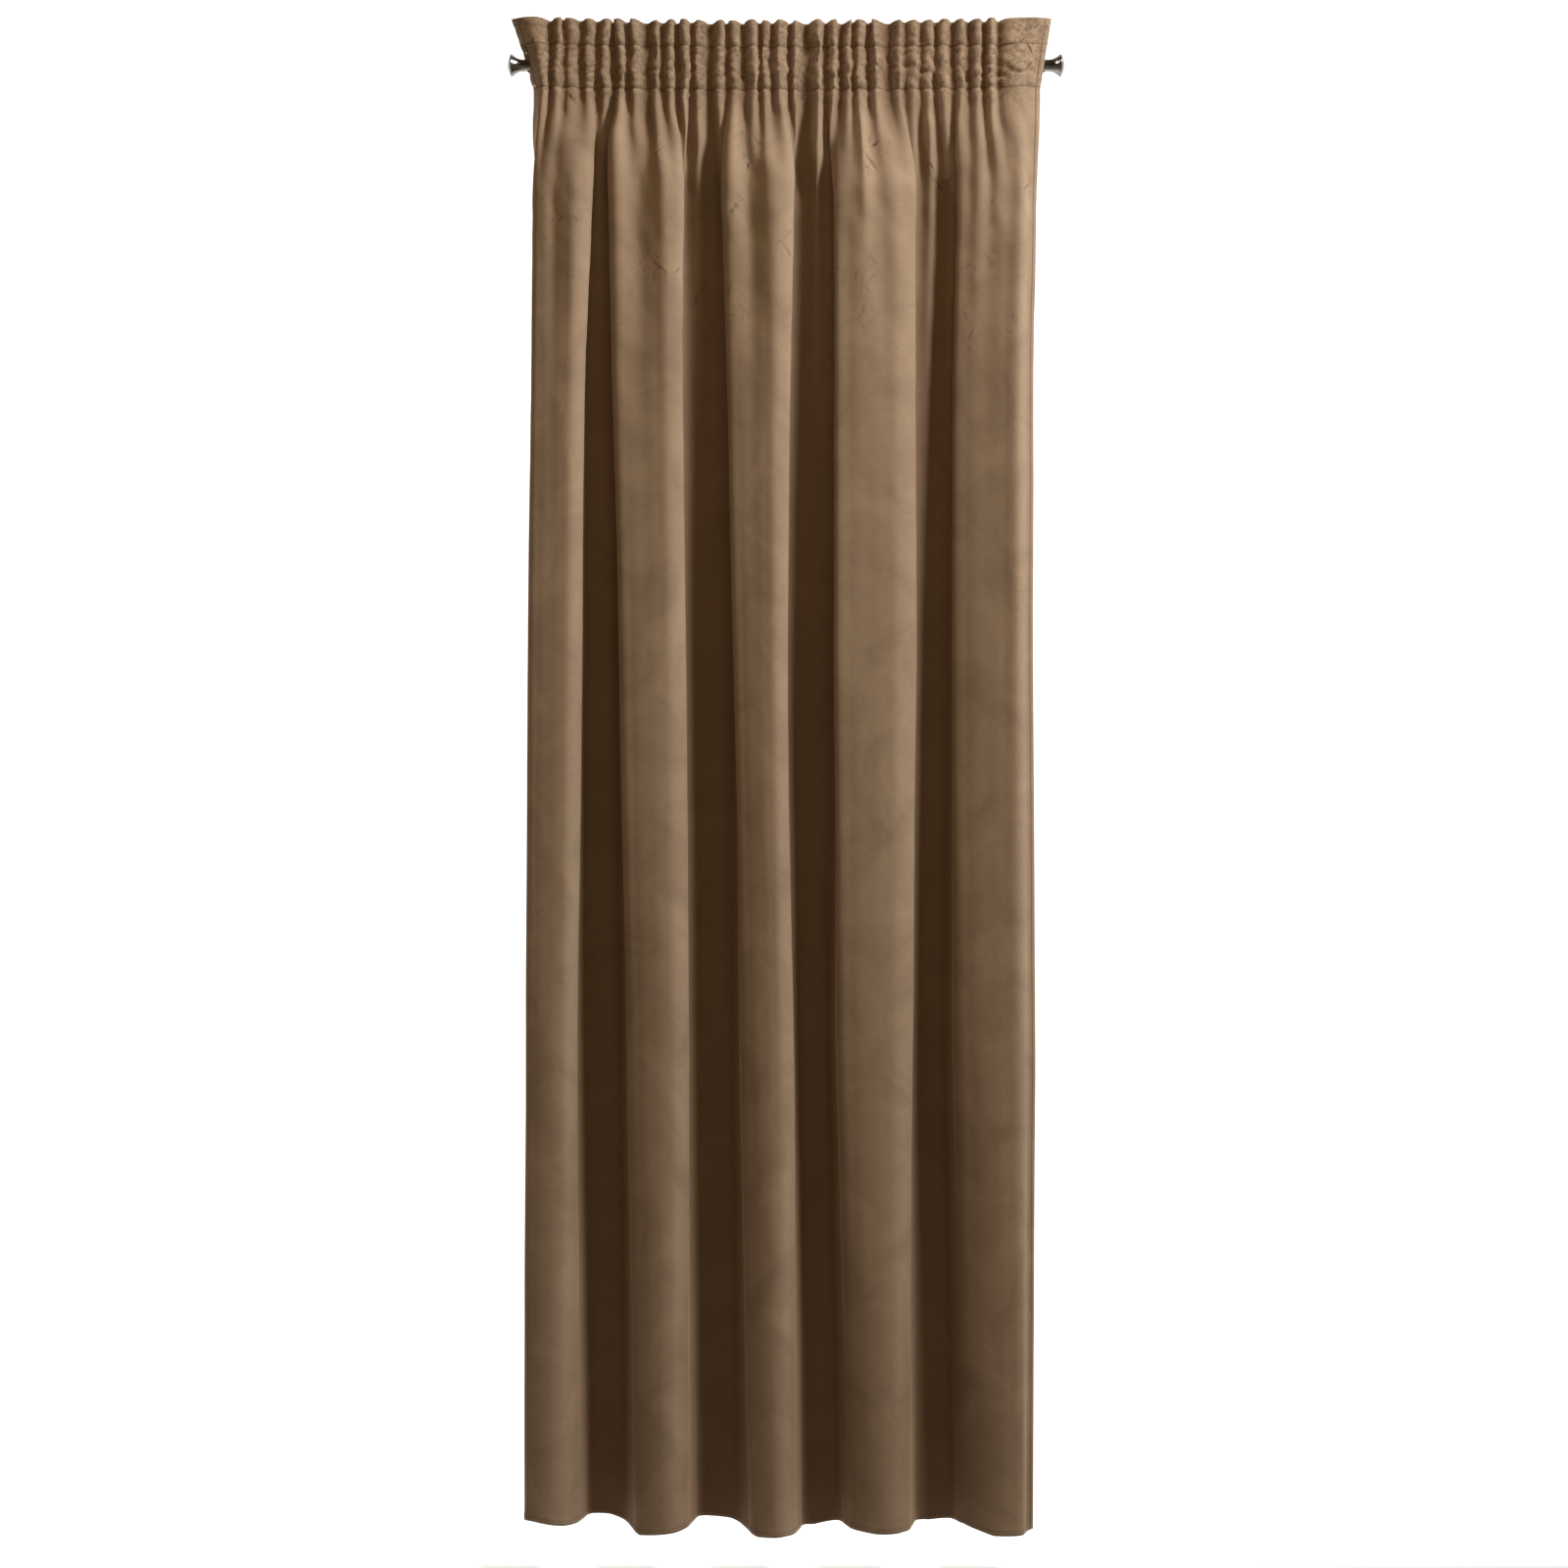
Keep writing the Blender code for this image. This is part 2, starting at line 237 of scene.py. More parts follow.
def makeVelvetPile():
    # cut-pile velvet: a dark ground with light caught on the pile's tips, brushed patches, crush marks and
    # painted shade deep in the folds
    material, tree, shader = newMaterial("brownPileVelvet")
    coords = addNode(tree, "UVMap", {"uv_map": "cloth"})
    patches = addNode(tree, "TexNoise", {"noise_dimensions": "2D"},
                      {"Vector": (coords, 0), "Scale": 1 / velvetLook["patchSize"], "Detail": 5.0,
                       "Roughness": 0.6, "Distortion": 0.6})
    stretched = addNode(tree, "Mapping", inputs={"Vector": (coords, 0)})
    stretched.inputs["Scale"].default_value = (25, 1 / velvetLook["ribSpacing"], 1)
    ribs = addNode(tree, "TexNoise", {"noise_dimensions": "2D"},
                   {"Vector": (stretched, 0), "Scale": 1.0, "Detail": 3.0, "Roughness": 0.7})
    pile = addNode(tree, "TexNoise", {"noise_dimensions": "2D"},
                   {"Vector": (coords, 0), "Scale": velvetLook["tufts"], "Detail": 2.0, "Roughness": 0.7})
    brushed = addNode(tree, "Math", {"operation": "MULTIPLY_ADD"},
                      {0: (ribs, 0), 1: 0.22, 2: (patches, 0)})
    finer = addNode(tree, "Math", {"operation": "MULTIPLY_ADD"},
                    {0: (pile, 0), 1: 0.25, 2: (brushed, 0)})
    tone = addNode(tree, "ValToRGB", inputs={0: (finer, 0)})
    setStops(tone, (0.35, velvetLook["body"]), (1.25, velvetLook["raised"]))

    split = addNode(tree, "SeparateXYZ", inputs={0: (coords, 0)})
    crushes = []
    for angle, long, wide, threshold in velvetLook["crushes"]:
        turned = addNode(tree, "Mapping", {"vector_type": "TEXTURE"}, {"Vector": (coords, 0)})
        turned.inputs["Location"].default_value = (angle, angle / 3, 0)
        turned.inputs["Rotation"].default_value = (0, 0, radians(angle))
        turned.inputs["Scale"].default_value = (long, wide, 1)
        streaks = addNode(tree, "TexNoise", {"noise_dimensions": "2D"},
                          {"Vector": (turned, 0), "Scale": 1.0, "Detail": 3.0, "Roughness": 0.6,
                           "Distortion": 0.3})
        crushes.append(addNode(tree, "MapRange", inputs={
            "Value": (streaks, 0), "From Min": threshold, "From Max": threshold + 0.15, "To Max": 1.0}))
    anyCrush = crushes[0]
    for crush in crushes[1:]:
        anyCrush = addNode(tree, "Math", {"operation": "MAXIMUM"},
                           {0: (anyCrush, 0), 1: (crush, 0)})
    here = addNode(tree, "TexNoise", {"noise_dimensions": "2D"},
                   {"Vector": (coords, 0), "Scale": 9.0, "Detail": 3.0})
    some = addNode(tree, "MapRange",
                   inputs={"Value": (here, 0), "From Min": 0.58, "From Max": 0.72})
    top = addNode(tree, "MapRange",
                  inputs={"Value": (split, 1), "From Min": -0.70, "From Max": -0.20, "To Min": 0.10})
    marked = addNode(tree, "Math", {"operation": "MULTIPLY"}, {0: (anyCrush, 0), 1: (some, 0)})
    crushed = addNode(tree, "Math", {"operation": "MULTIPLY"}, {0: (marked, 0), 1: (top, 0)})

    # the gathered heading has been handled most: its pile lies this way and that
    handled = addNode(tree, "MapRange",
                      inputs={"Value": (split, 1), "From Min": -0.10, "From Max": -0.03})
    mottle = addNode(tree, "TexNoise", {"noise_dimensions": "2D"},
                     {"Vector": (coords, 0), "Scale": velvetLook["mottles"], "Detail": 4.0,
                      "Roughness": 0.65, "Distortion": 1.5})
    dark = addNode(tree, "MapRange",
                   inputs={"Value": (mottle, 0), "From Min": 0.40, "From Max": 0.68, "To Max": 0.62})
    mottled = addNode(tree, "Math", {"operation": "MULTIPLY"}, {0: (dark, 0), 1: (handled, 0)})
    strength = addNode(tree, "Math", {"operation": "MAXIMUM"}, {0: (crushed, 0), 1: (mottled, 0)})
    for axis, place in [(0, across) for across in seamsAcross] + [(1, up) for up in seamsUp]:
        away = addNode(tree, "Math", {"operation": "SUBTRACT"}, {0: (split, axis), 1: place})
        near = addNode(tree, "Math", {"operation": "ABSOLUTE"}, {0: (away, 0)})
        sewn = addNode(tree, "MapRange", inputs={
            "Value": (near, 0), "From Min": velvetLook["sewnHalf"], "From Max": velvetLook["sewnFade"],
            "To Min": 0.55, "To Max": 0.0})
        strength = addNode(tree, "Math", {"operation": "MAXIMUM"}, {0: (strength, 0), 1: (sewn, 0)})
    # painted shade: the pile's colour is mixed towards a dark brown where the cloth lies deep in the folds
    # and between the pleats
    depth = addNode(tree, "Attribute", {"attribute_name": "hollow"})
    deep = addNode(tree, "Math", {"operation": "MULTIPLY"}, {0: (depth, 2), 1: 0.75})
    inside = addNode(tree, "Mix", {"data_type": "RGBA"},
                     {0: (deep, 0), 6: (tone, 0), 7: linearColour(velvetLook["hollow"])})
    colour = addNode(tree, "Mix", {"data_type": "RGBA"},
                     {0: (strength, 0), 6: (inside, 2), 7: linearColour(velvetLook["crushed"])})

    height = addNode(tree, "Math", {"operation": "MULTIPLY_ADD"},
                     {0: (crushed, 0), 1: -1.2, 2: (finer, 0)})
    relief = addNode(tree, "Bump",
                     inputs={"Height": (height, 0), "Strength": 0.22, "Distance": 0.0012})
    rough = addNode(tree, "MapRange",
                    inputs={"Value": (patches, 0), "To Min": 0.78, "To Max": 0.95})
    setShader(tree, shader, Base_Color=(colour, 2), Roughness=(rough, 0), Normal=(relief, 0))
    setShader(tree, shader, Sheen_Weight=0.55, Sheen_Roughness=0.42,
              Sheen_Tint=linearColour(velvetLook["sheenTint"]), Specular_IOR_Level=0.15)
    return material


# how close each weave lies, as its wave pattern counts it: 0.314 over the thread's spacing in metres
weaveScale = {
    "velvetGround": 120.0,      # 2.6 mm, drawn four times as coarse as woven so that it shows
    "tapeRibs": 210.0,          # 1.5 mm
    "tapeThreads": 260.0,       # 1.2 mm
    "cordPlait": 300.0,         # 1.0 mm
    "threadTwist": 900.0,       # 0.35 mm
}


def makeVelvetGround():
    # the velvet's woven back: plain weave, duller and paler than the pile
    material, tree, shader = newMaterial("velvetWovenBack")
    coords = addNode(tree, "UVMap", {"uv_map": "cloth"})
    warp = addNode(tree, "TexWave", {"bands_direction": "X"},
                   {"Vector": (coords, 0), "Scale": weaveScale["velvetGround"], "Distortion": 1.0,
                    "Detail": 1.0})
    weft = addNode(tree, "TexWave", {"bands_direction": "Y"},
                   {"Vector": (coords, 0), "Scale": weaveScale["velvetGround"], "Distortion": 1.0,
                    "Detail": 1.0})
    weave = addNode(tree, "Math", {"operation": "MULTIPLY"}, {0: (warp, 1), 1: (weft, 1)})
    cloudy = addNode(tree, "TexNoise", {"noise_dimensions": "2D"},
                     {"Vector": (coords, 0), "Scale": 8.0, "Detail": 5.0})
    both = addNode(tree, "Math", {"operation": "MULTIPLY_ADD"},
                   {0: (weave, 0), 1: 0.3, 2: (cloudy, 0)})
    tone = addNode(tree, "ValToRGB", inputs={0: (both, 0)})
    setStops(tone, (0.35, "#5e4634"), (0.95, "#7a5f49"))
    relief = addNode(tree, "Bump",
                     inputs={"Height": (weave, 0), "Strength": 0.3, "Distance": 0.0004})
    setShader(tree, shader, Base_Color=(tone, 0), Normal=(relief, 0), Roughness=0.9)
    setShader(tree, shader, Sheen_Weight=0.15, Specular_IOR_Level=0.2)
    return material


def makeWebbing():
    # polyester heading tape: off-white, ribbed across, a little dusty
    material, tree, shader = newMaterial("polyesterHeadingTape")
    coords = addNode(tree, "TexCoord")
    ribs = addNode(tree, "TexWave", {"bands_direction": "Z"},
                   {"Vector": (coords, 3), "Scale": weaveScale["tapeRibs"], "Distortion": 0.6, "Detail": 1.0})
    threads = addNode(tree, "TexWave", {"bands_direction": "X"},
                      {"Vector": (coords, 3), "Scale": weaveScale["tapeThreads"], "Distortion": 0.6})
    weave = addNode(tree, "Math", {"operation": "MULTIPLY"}, {0: (ribs, 1), 1: (threads, 1)})
    dust = addNode(tree, "TexNoise", inputs={"Vector": (coords, 3), "Scale": 40.0, "Detail": 5.0})
    both = addNode(tree, "Math", {"operation": "MULTIPLY_ADD"},
                   {0: (weave, 0), 1: 0.5, 2: (dust, 0)})
    tone = addNode(tree, "ValToRGB", inputs={0: (both, 0)})
    setStops(tone, (0.3, "#c9c2b4"), (1, "#ece7dc"))
    relief = addNode(tree, "Bump",
                     inputs={"Height": (weave, 0), "Strength": 0.5, "Distance": 0.0004})
    setShader(tree, shader, Base_Color=(tone, 0), Normal=(relief, 0), Roughness=0.8)
    return material


def makeCordMaterial():
    # braided polyester cord: white, with the plait's diagonal ridges
    material, tree, shader = newMaterial("braidedPolyesterCord")
    coords = addNode(tree, "TexCoord")
    plait = addNode(tree, "TexWave", {"bands_direction": "DIAGONAL"},
                    {"Vector": (coords, 3), "Scale": weaveScale["cordPlait"], "Distortion": 2.0,
                     "Detail": 1.0})
    tone = addNode(tree, "ValToRGB", inputs={0: (plait, 1)})
    setStops(tone, (0, "#cfcbc2"), (1, "#f2efe8"))
    relief = addNode(tree, "Bump",
                     inputs={"Height": (plait, 1), "Strength": 0.6, "Distance": 0.0003})
    setShader(tree, shader, Base_Color=(tone, 0), Normal=(relief, 0), Roughness=0.65)
    return material


def makeThread():
    # spun polyester sewing thread: dark brown, twisted
    material, tree, shader = newMaterial("brownSewingThread")
    coords = addNode(tree, "TexCoord")
    twist = addNode(tree, "TexWave", {"bands_direction": "DIAGONAL"},
                    {"Vector": (coords, 3), "Scale": weaveScale["threadTwist"], "Distortion": 1.0})
    tone = addNode(tree, "ValToRGB", inputs={0: (twist, 1)})
    setStops(tone, (0, "#2b1a0e"), (1, "#4a3220"))
    setShader(tree, shader, Base_Color=(tone, 0), Roughness=0.6)
    return material


def makeNickel(name, light, roughLow, roughHigh):
    # nickel plate: a warm mirror with faint polishing haze and finger smears about 11 mm across
    material, tree, shader = newMaterial(name)
    coords = addNode(tree, "TexCoord")
    haze = addNode(tree, "TexNoise",
                   inputs={"Vector": (coords, 3), "Scale": 90.0, "Detail": 6.0, "Roughness": 0.65})
    rough = addNode(tree, "MapRange",
                    inputs={"Value": (haze, 0), "To Min": roughLow, "To Max": roughHigh})
    tone = addNode(tree, "ValToRGB", inputs={0: (haze, 0)})
    setStops(tone, (0.2, "#5f5a53"), (0.8, light))
    fine = addNode(tree, "TexNoise", inputs={"Vector": (coords, 3), "Scale": 1500.0, "Detail": 2.0})
    relief = addNode(tree, "Bump",
                     inputs={"Height": (fine, 0), "Strength": 0.02, "Distance": 0.0002})
    setShader(tree, shader, Base_Color=(tone, 0), Roughness=(rough, 0), Normal=(relief, 0), Metallic=1.0)
    return material


def makeScrewSteel():
    # blackened steel of a small set screw
    material, tree, shader = newMaterial("blackenedSteel")
    coords = addNode(tree, "TexCoord")
    grain = addNode(tree, "TexNoise", inputs={"Vector": (coords, 3), "Scale": 800.0, "Detail": 3.0})
    rough = addNode(tree, "MapRange", inputs={"Value": (grain, 0), "To Min": 0.3, "To Max": 0.55})
    tone = addNode(tree, "ValToRGB", inputs={0: (grain, 0)})
    setStops(tone, (0, "#1d1a18"), (1, "#4b4642"))
    setShader(tree, shader, Base_Color=(tone, 0), Roughness=(rough, 0), Metallic=0.9)
    return material


velvetPile = makeVelvetPile()
velvetGround = makeVelvetGround()
webbing = makeWebbing()
cordWhite = makeCordMaterial()
thread = makeThread()
finialNickel = makeNickel("polishedNickelPlate", "#a39d94", 0.15, 0.28)
poleNickel = makeNickel("satinNickelPlate", "#aaa59b", 0.22, 0.38)
screwSteel = makeScrewSteel()
print("materials made")


heading = {
    "upperRow": tapeHigh.z,
    "lowerRow": tapeLow.z,
    "frill": 0.044,             # stands above the upper stitch row
    "pleats": 28,
    "columnsPerPleat": 10,
    "leftFlat": 0.055,          # cloth before the first pleat, measured flat
    "rightFlat": 0.085,
    "leftEdge": (-0.4505, -0.4885),     # at the lower stitch row and at the frill's top
    "rightEdge": (0.4535, 0.473),
    "wrap": (0.020, 0.002),             # how far the left edge turns back, at the same two heights
    "leftLobe": 0.016,          # how far the flat cloth at each end bellies out
    "rightLobe": 0.013,
    "rear": tapeHigh.y - 0.0022,        # the velvet's middle at the back of the pleats
    "depth": 0.0160,
    "tube": 0.305,              # a pleat's half width, as a share of its own cloth
    "squareness": 0.50,
    "fullness": 0.18,
    "sag": 0.006,
    # how unlike each other the pleats are: shares of their depth, width and place, then metres
    "uneven": {"depths": (0.78, 1.14), "widths": (0.80, 1.22), "leans": (-0.18, 0.18),
               "frillLeans": (-0.006, 0.006), "bulges": (0.0, 0.30), "bulgeHeights": (-0.024, 0.006)},
    "unevenPlace": 0.0035,      # metres, along the heading
    "pinch": 0.20,              # how much of its depth a pleat loses at a stitch row
    "pinchHeight": 0.0036,
    "wander": (0.0042, 0.030),  # how far a pleat strays sideways, and over what height
    "intoFolds": (0.036, 0.235),        # how far down the pleats begin to follow the folds, and do so wholly
    # how far each pleat runs on below the lower row, from the left to the right
    "reach": (0.18, 0.20, 0.26, 0.30, 0.34, 0.12, 0.18, 0.26, 0.34, 0.46, 0.30, 0.30, 0.12, 0.24,
              0.28, 0.36, 0.46, 0.30, 0.16, 0.30, 0.16, 0.26, 0.34, 0.46, 0.30, 0.24, 0.28, 0.20),
}

# the hanging folds in plan: where each one's left and right edges stand at five heights
folds = {
    "heights": (-0.20, -0.55, -1.05, -1.75, -2.61),
    "leftEdges": (
        (-0.449, -0.453, -0.458, -0.463, -0.466),
        (-0.303, -0.306, -0.294, -0.281, -0.264),
        (-0.107, -0.103, -0.093, -0.079, -0.058),
        (0.089, 0.089, 0.087, 0.093, 0.120),
        (0.315, 0.299, 0.296, 0.303, 0.326),
    ),
    "rightEdges": (
        (-0.350, -0.359, -0.364, -0.371, -0.375),
        (-0.189, -0.184, -0.179, -0.174, -0.178),
        (0.009, 0.005, 0.000, 0.013, 0.015),
        (0.224, 0.228, 0.231, 0.224, 0.217),
        (0.446, 0.440, 0.440, 0.443, 0.441),
    ),
    # a fold's front in plan, from its left edge to its right at even shares of its width
    "front": (
        (-0.022, -0.024, -0.026, -0.022, -0.010),
        (-0.030, -0.033, -0.036, -0.035, -0.024),
        (-0.031, -0.039, -0.043, -0.044, -0.034),
        (-0.042, -0.046, -0.049, -0.050, -0.040),
        (-0.051, -0.050, -0.051, -0.050, -0.038),
        (-0.036, -0.036, -0.035, -0.032, -0.020),
    ),
    # how much further forward each fold's right side stands than its left
    "leans": (
        (-0.004, -0.004, -0.004, -0.006, -0.008),
        (0.006, 0.006, 0.000, -0.002, -0.002),
        (0.004, 0.005, 0.004, 0.002, -0.004),
        (-0.010, -0.010, -0.004, 0.002, 0.006),
        (0.016, 0.022, 0.028, 0.020, 0.018),
    ),
    "leftTuck": (0.006, 0.006, 0.003, -0.005, -0.010),      # how far the sides lie under the front
    "rightTuck": (0.009, 0.010, 0.009, 0.005, -0.010),
    "side": (-0.002, 0.000, 0.004, 0.010, 0.012),
    "valley": (0.014, 0.020, 0.030, 0.040, 0.046),
    "hollow": (-0.042, 0.020),          # from the front of a fold to a depth where the painted shade is full
    # how far the hem is lifted along its width, as (place, lift)
    "hemLift": ((-0.45, 0.010), (-0.32, 0.001), (-0.26, -0.017), (-0.21, -0.008), (-0.16, 0), (-0.10, -0.006),
                (-0.05, -0.019), (0, -0.013), (0.05, -0.019), (0.10, -0.008), (0.16, -0.010), (0.21, -0.006),
                (0.26, -0.010), (0.32, -0.003), (0.37, -0.014), (0.45, -0.006)),
    # the pleats, counted from the left, at which each fold's front begins and ends
    "fromPleat": (-0.35, 4.3, 11.15, 18.1, 25.6),
    "toPleat": (2.6, 7.6, 14.6, 21.6, 28),
}


def foldPlan(height):
    # the plan of the folds at one height, as points from the left edge to the right
    def read(values):
        return throughHeights(values, height, folds["heights"])

    lefts, rights, front, leans = ([read(v) for v in folds[key]]
                                   for key in ("leftEdges", "rightEdges", "front", "leans"))
    leftTuck, rightTuck, side, valley = (read(folds[key])
                                         for key in ("leftTuck", "rightTuck", "side", "valley"))
    points = [(lefts[0] + 0.005, 0.026), (lefts[0] + 0.0015, 0.004)]
    marks = [0]
    for number, (left, right) in enumerate(zip(lefts, rights)):
        if number:
            points.append((left + leftTuck, side))
        marks += [len(points), len(points) + 5]
        for k, y in enumerate(front):
            points.append((left + (right - left) * k / 5, y - leans[number] * (k / 5 - 0.5)))
        if number == 4:         # the side hem turns back to the wall
            points[-1] = (right - velvet["sideHem"], front[-1] - 0.001)
            points.append((right, front[-1] + 0.010))
            marks[-1] = len(points) - 1
        else:
            gap = lefts[number + 1] - right
            points += [
                (right - rightTuck, side),
                (right + 0.20 * gap, valley),
                (right + 0.72 * gap, valley + 0.002),
            ]
    return points, marks


# the velvet's rows of points: closest where the pleats are, widest down the plain folds
rowBands = ((frillTop, 54), (-0.060, 44), (-0.340, 26), (-0.900, 33), (-2.590, 4))


def rowHeights():
    lows = [top for top, _ in rowBands[1:]] + [hemHeight]
    parts = [np.linspace(top, low, rows, endpoint=False) for (top, rows), low in zip(rowBands, lows)]
    return np.concatenate([*parts, [hemHeight]])


def pleatPlaces():
    # where each pleat starts across the heading, pinned to the pole loops and uneven between them
    first, last = loopCentres[0], loopCentres[-1]
    places = np.linspace(first, last, heading["pleats"] + 1)
    places[1:-1] += random.uniform(-heading["unevenPlace"], heading["unevenPlace"], heading["pleats"] - 1)
    places[::2] = loopCentres
    return places


def softened(values, reach):
    # a running mean over some neighbours to each side
    kernel = np.hanning(2 * reach + 3)
    return np.convolve(np.pad(values, reach + 1, "edge"), kernel / kernel.sum(), "valid")


def clothRows():
    pleats, perPleat = heading["pleats"], heading["columnsPerPleat"]
    pleatCloth = (flatWidth - heading["leftFlat"] - heading["rightFlat"]) / pleats
    material = np.concatenate([
        np.linspace(0, heading["leftFlat"], 11, endpoint=False),
        heading["leftFlat"] + np.linspace(0, pleatCloth * pleats, pleats * perPleat, endpoint=False),
        np.linspace(flatWidth - heading["rightFlat"], flatWidth, 17),
    ])
    phase = (material - heading["leftFlat"]) / pleatCloth
    marks = [0]
    for start, end in zip(folds["fromPleat"], folds["toPleat"]):
        marks += [heading["leftFlat"] + start * pleatCloth, heading["leftFlat"] + end * pleatCloth]
    marks[-1] = flatWidth
    cloth = {"material": material, "phase": phase, "marks": marks, "places": pleatPlaces()}
    for what, (least, most) in heading["uneven"].items():
        cloth[what] = random.uniform(least, most, pleats)
    cloth["depths"] *= heading["depth"]
    heights = rowHeights()
    grid = np.stack([clothRow(height, cloth) for height in heights])
    return grid, material, heights


def headingLine(height, material, phase, places):
    # the back of the pleats, straight across the tape, with a flat lobe at each end
    up = (height - heading["lowerRow"]) / (frillTop - heading["lowerRow"])
    line = np.stack([np.interp(phase, np.arange(len(places)), places),
                     np.full_like(material, heading["rear"])], 1)
    left, right = phase < 0, phase > heading["pleats"]
    leftShare = np.clip(1 - material / heading["leftFlat"], 0, 1)
    rightShare = np.clip(1 - (flatWidth - material) / heading["rightFlat"], 0, 1)
    leftEdge = np.interp(up, (0, 1), heading["leftEdge"])
    rightEdge = np.interp(up, (0, 1), heading["rightEdge"])
    line[left, 0] = (places[0] + (leftEdge - places[0]) * leftShare)[left]
    line[right, 0] = (places[-1] + (rightEdge - places[-1]) * rightShare)[right]
    line[:, 1] += np.interp(up, (0, 1), heading["wrap"]) * leftShare**2.5
    line[:, 1] -= heading["leftLobe"] * np.sin(pi * leftShare**0.8)
    line[:, 1] -= heading["rightLobe"] * np.sin(pi * rightShare**0.7) + 0.004 * rightShare
    return line


def foldLineAt(height, material, marks):
    # the folds' plan at one height, with the cloth's columns laid along it
    points, corners = foldPlan(min(height, -0.05))
    plan, lengths = curveThrough(points)
    along = softened(np.interp(material, marks, [lengths[k] for k in corners]), 4)
    along[0], along[-1] = 0, lengths[-1]
    share = along / lengths[-1] * (len(plan) - 1)
    return np.stack([np.interp(share, np.arange(len(plan)), plan[:, k]) for k in range(2)], 1)


def smoothTangents(line, material):
    step = np.gradient(line, material, axis=0)
    tangent = step / np.linalg.norm(step, axis=1)[:, None]
    tangent = np.stack([softened(tangent[:, k], 3) for k in range(2)], 1)
    return tangent / np.linalg.norm(tangent, axis=1)[:, None]


def pleatAt(number, height, cloth):
    # one pleat at one height: how far it stands out of the line, and how far its cloth slides along it
    phase = cloth["phase"]
    below = max(0.0, heading["lowerRow"] - height)
    above = max(0.0, height - heading["upperRow"])
    reach = heading["reach"][number]
    onFront = any(start - 0.5 < number < end - 0.3
                  for start, end in zip(folds["fromPleat"], folds["toPleat"]))
    runsFar = reach > (0.29 if onFront else 0.40)
    depth = cloth["depths"][number] * exp(-((below / reach) ** 1.3)) * (1 + 2.2 * above)
    bulge = 1 + cloth["bulges"][number] * exp(-(((height - cloth["bulgeHeights"][number]) / 0.014) ** 2))
    width = heading["tube"] * cloth["widths"][number] * bulge
    width *= 1 + (1.0 if onFront else 0.3) * below / (reach + 0.10)
    if runsFar:                 # these also stand out more as they leave the heading
        depth *= 1 + 0.9 * float(smoothStep(below, 0, 0.10))
    middle = number + 0.5 + cloth["leans"][number]
    shape = np.exp(-np.abs((phase - middle) / width) ** 2.0)
    lift = shape * depth * (0.94 + 0.2 * (bulge - 1))

    inside = (phase > number) & (phase < number + 1)
    turn = phase - number
    full = heading["fullness"] * bulge
    shift = (-full * np.sin(2 * pi * turn) + heading["squareness"] / 2 * np.sin(4 * pi * turn)) / (2 * pi)
    far, tall = heading["wander"]
    swing = cloth["frillLeans"][number] * above / heading["frill"] + cloth["leans"][number] * 0.006
    swing += far * noise.noise(Vector((number * 3.7, height / tall, 0.5)))
    pitch = cloth["places"][number + 1] - cloth["places"][number]
    slide = inside * exp(-below / 0.045) * (shift * pitch + swing * np.sin(pi * turn) ** 2)
    return lift, slide


def clothRow(height, cloth):
    # one row of the velvet, from its left edge to its right, as (x, y, z, how much painted shade it gets for
    # lying deep in a hollow)
    material, phase = cloth["material"], cloth["phase"]
    toFolds = float(smoothStep(-height, *heading["intoFolds"]))
    line = headingLine(height, material, phase, cloth["places"]) * (1 - toFolds)
    line += foldLineAt(height, material, cloth["marks"]) * toFolds
    # a push outwards that keeps the left edge straight
    line[:, 0] -= 0.026 * toFolds * (1 - toFolds) * np.exp(-material / 0.06)

    lift, slide = np.zeros_like(material), np.zeros_like(material)
    for number in range(heading["pleats"]):
        pleatLift, pleatSlide = pleatAt(number, height, cloth)
        lift += pleatLift
        slide += pleatSlide
    for row, inwards in ((heading["upperRow"], -0.001), (heading["lowerRow"], 0.001)):
        lift *= 1 - heading["pinch"] * bump(height, row + inwards, heading["pinchHeight"])
    tangent = smoothTangents(line, material)
    normal = np.stack([tangent[:, 1], -tangent[:, 0]], 1)
    line = line + normal * lift[:, None] + tangent * slide[:, None]

    gathered = smoothStep(phase, -0.3, 0.1) * smoothStep(heading["pleats"] - phase, -0.3, 0.1)
    valley = gathered * (1 - np.clip(lift / heading["depth"], 0, 1))
    # painted shade: between the heading's pleats, and down the folds by how far back the cloth lies
    front, deep = folds["hollow"]
    hollow = (1 - toFolds) * valley + toFolds * (line[:, 1] - front) / (deep - front)
    droop = heading["sag"] * (1 - (line[:, 0] / 0.48) ** 2) * float(smoothStep(height, -0.3, -0.05))
    droop += 0.004 * valley * max(0.0, height - heading["upperRow"]) / heading["frill"]
    droop -= np.interp(line[:, 0], *zip(*folds["hemLift"])) * smoothStep(-height, 1.9, 2.61)
    return np.stack([line[:, 0], line[:, 1], height - droop, np.clip(hollow, 0, 1)], 1)


def clearOfTape(grid, material, heights):
    # across the heading nothing of the velvet goes through the tape and its cords
    within = (material > heading["leftFlat"]) & (material < flatWidth - heading["rightFlat"])
    for row in np.nonzero(heights > heading["lowerRow"] - 0.012)[0]:
        grid[row, within, 1] = np.minimum(grid[row, within, 1], heading["rear"] + 0.0004)
    return grid


def gridNormals(grid):
    # towards the room
    across = np.gradient(grid, axis=1)
    down = np.gradient(grid, axis=0)
    normals = np.cross(down, across)
    normals /= np.linalg.norm(normals, axis=2)[:, :, None]
    return np.where(normals[:, :, 1:2].mean() > 0, -1, 1) * normals


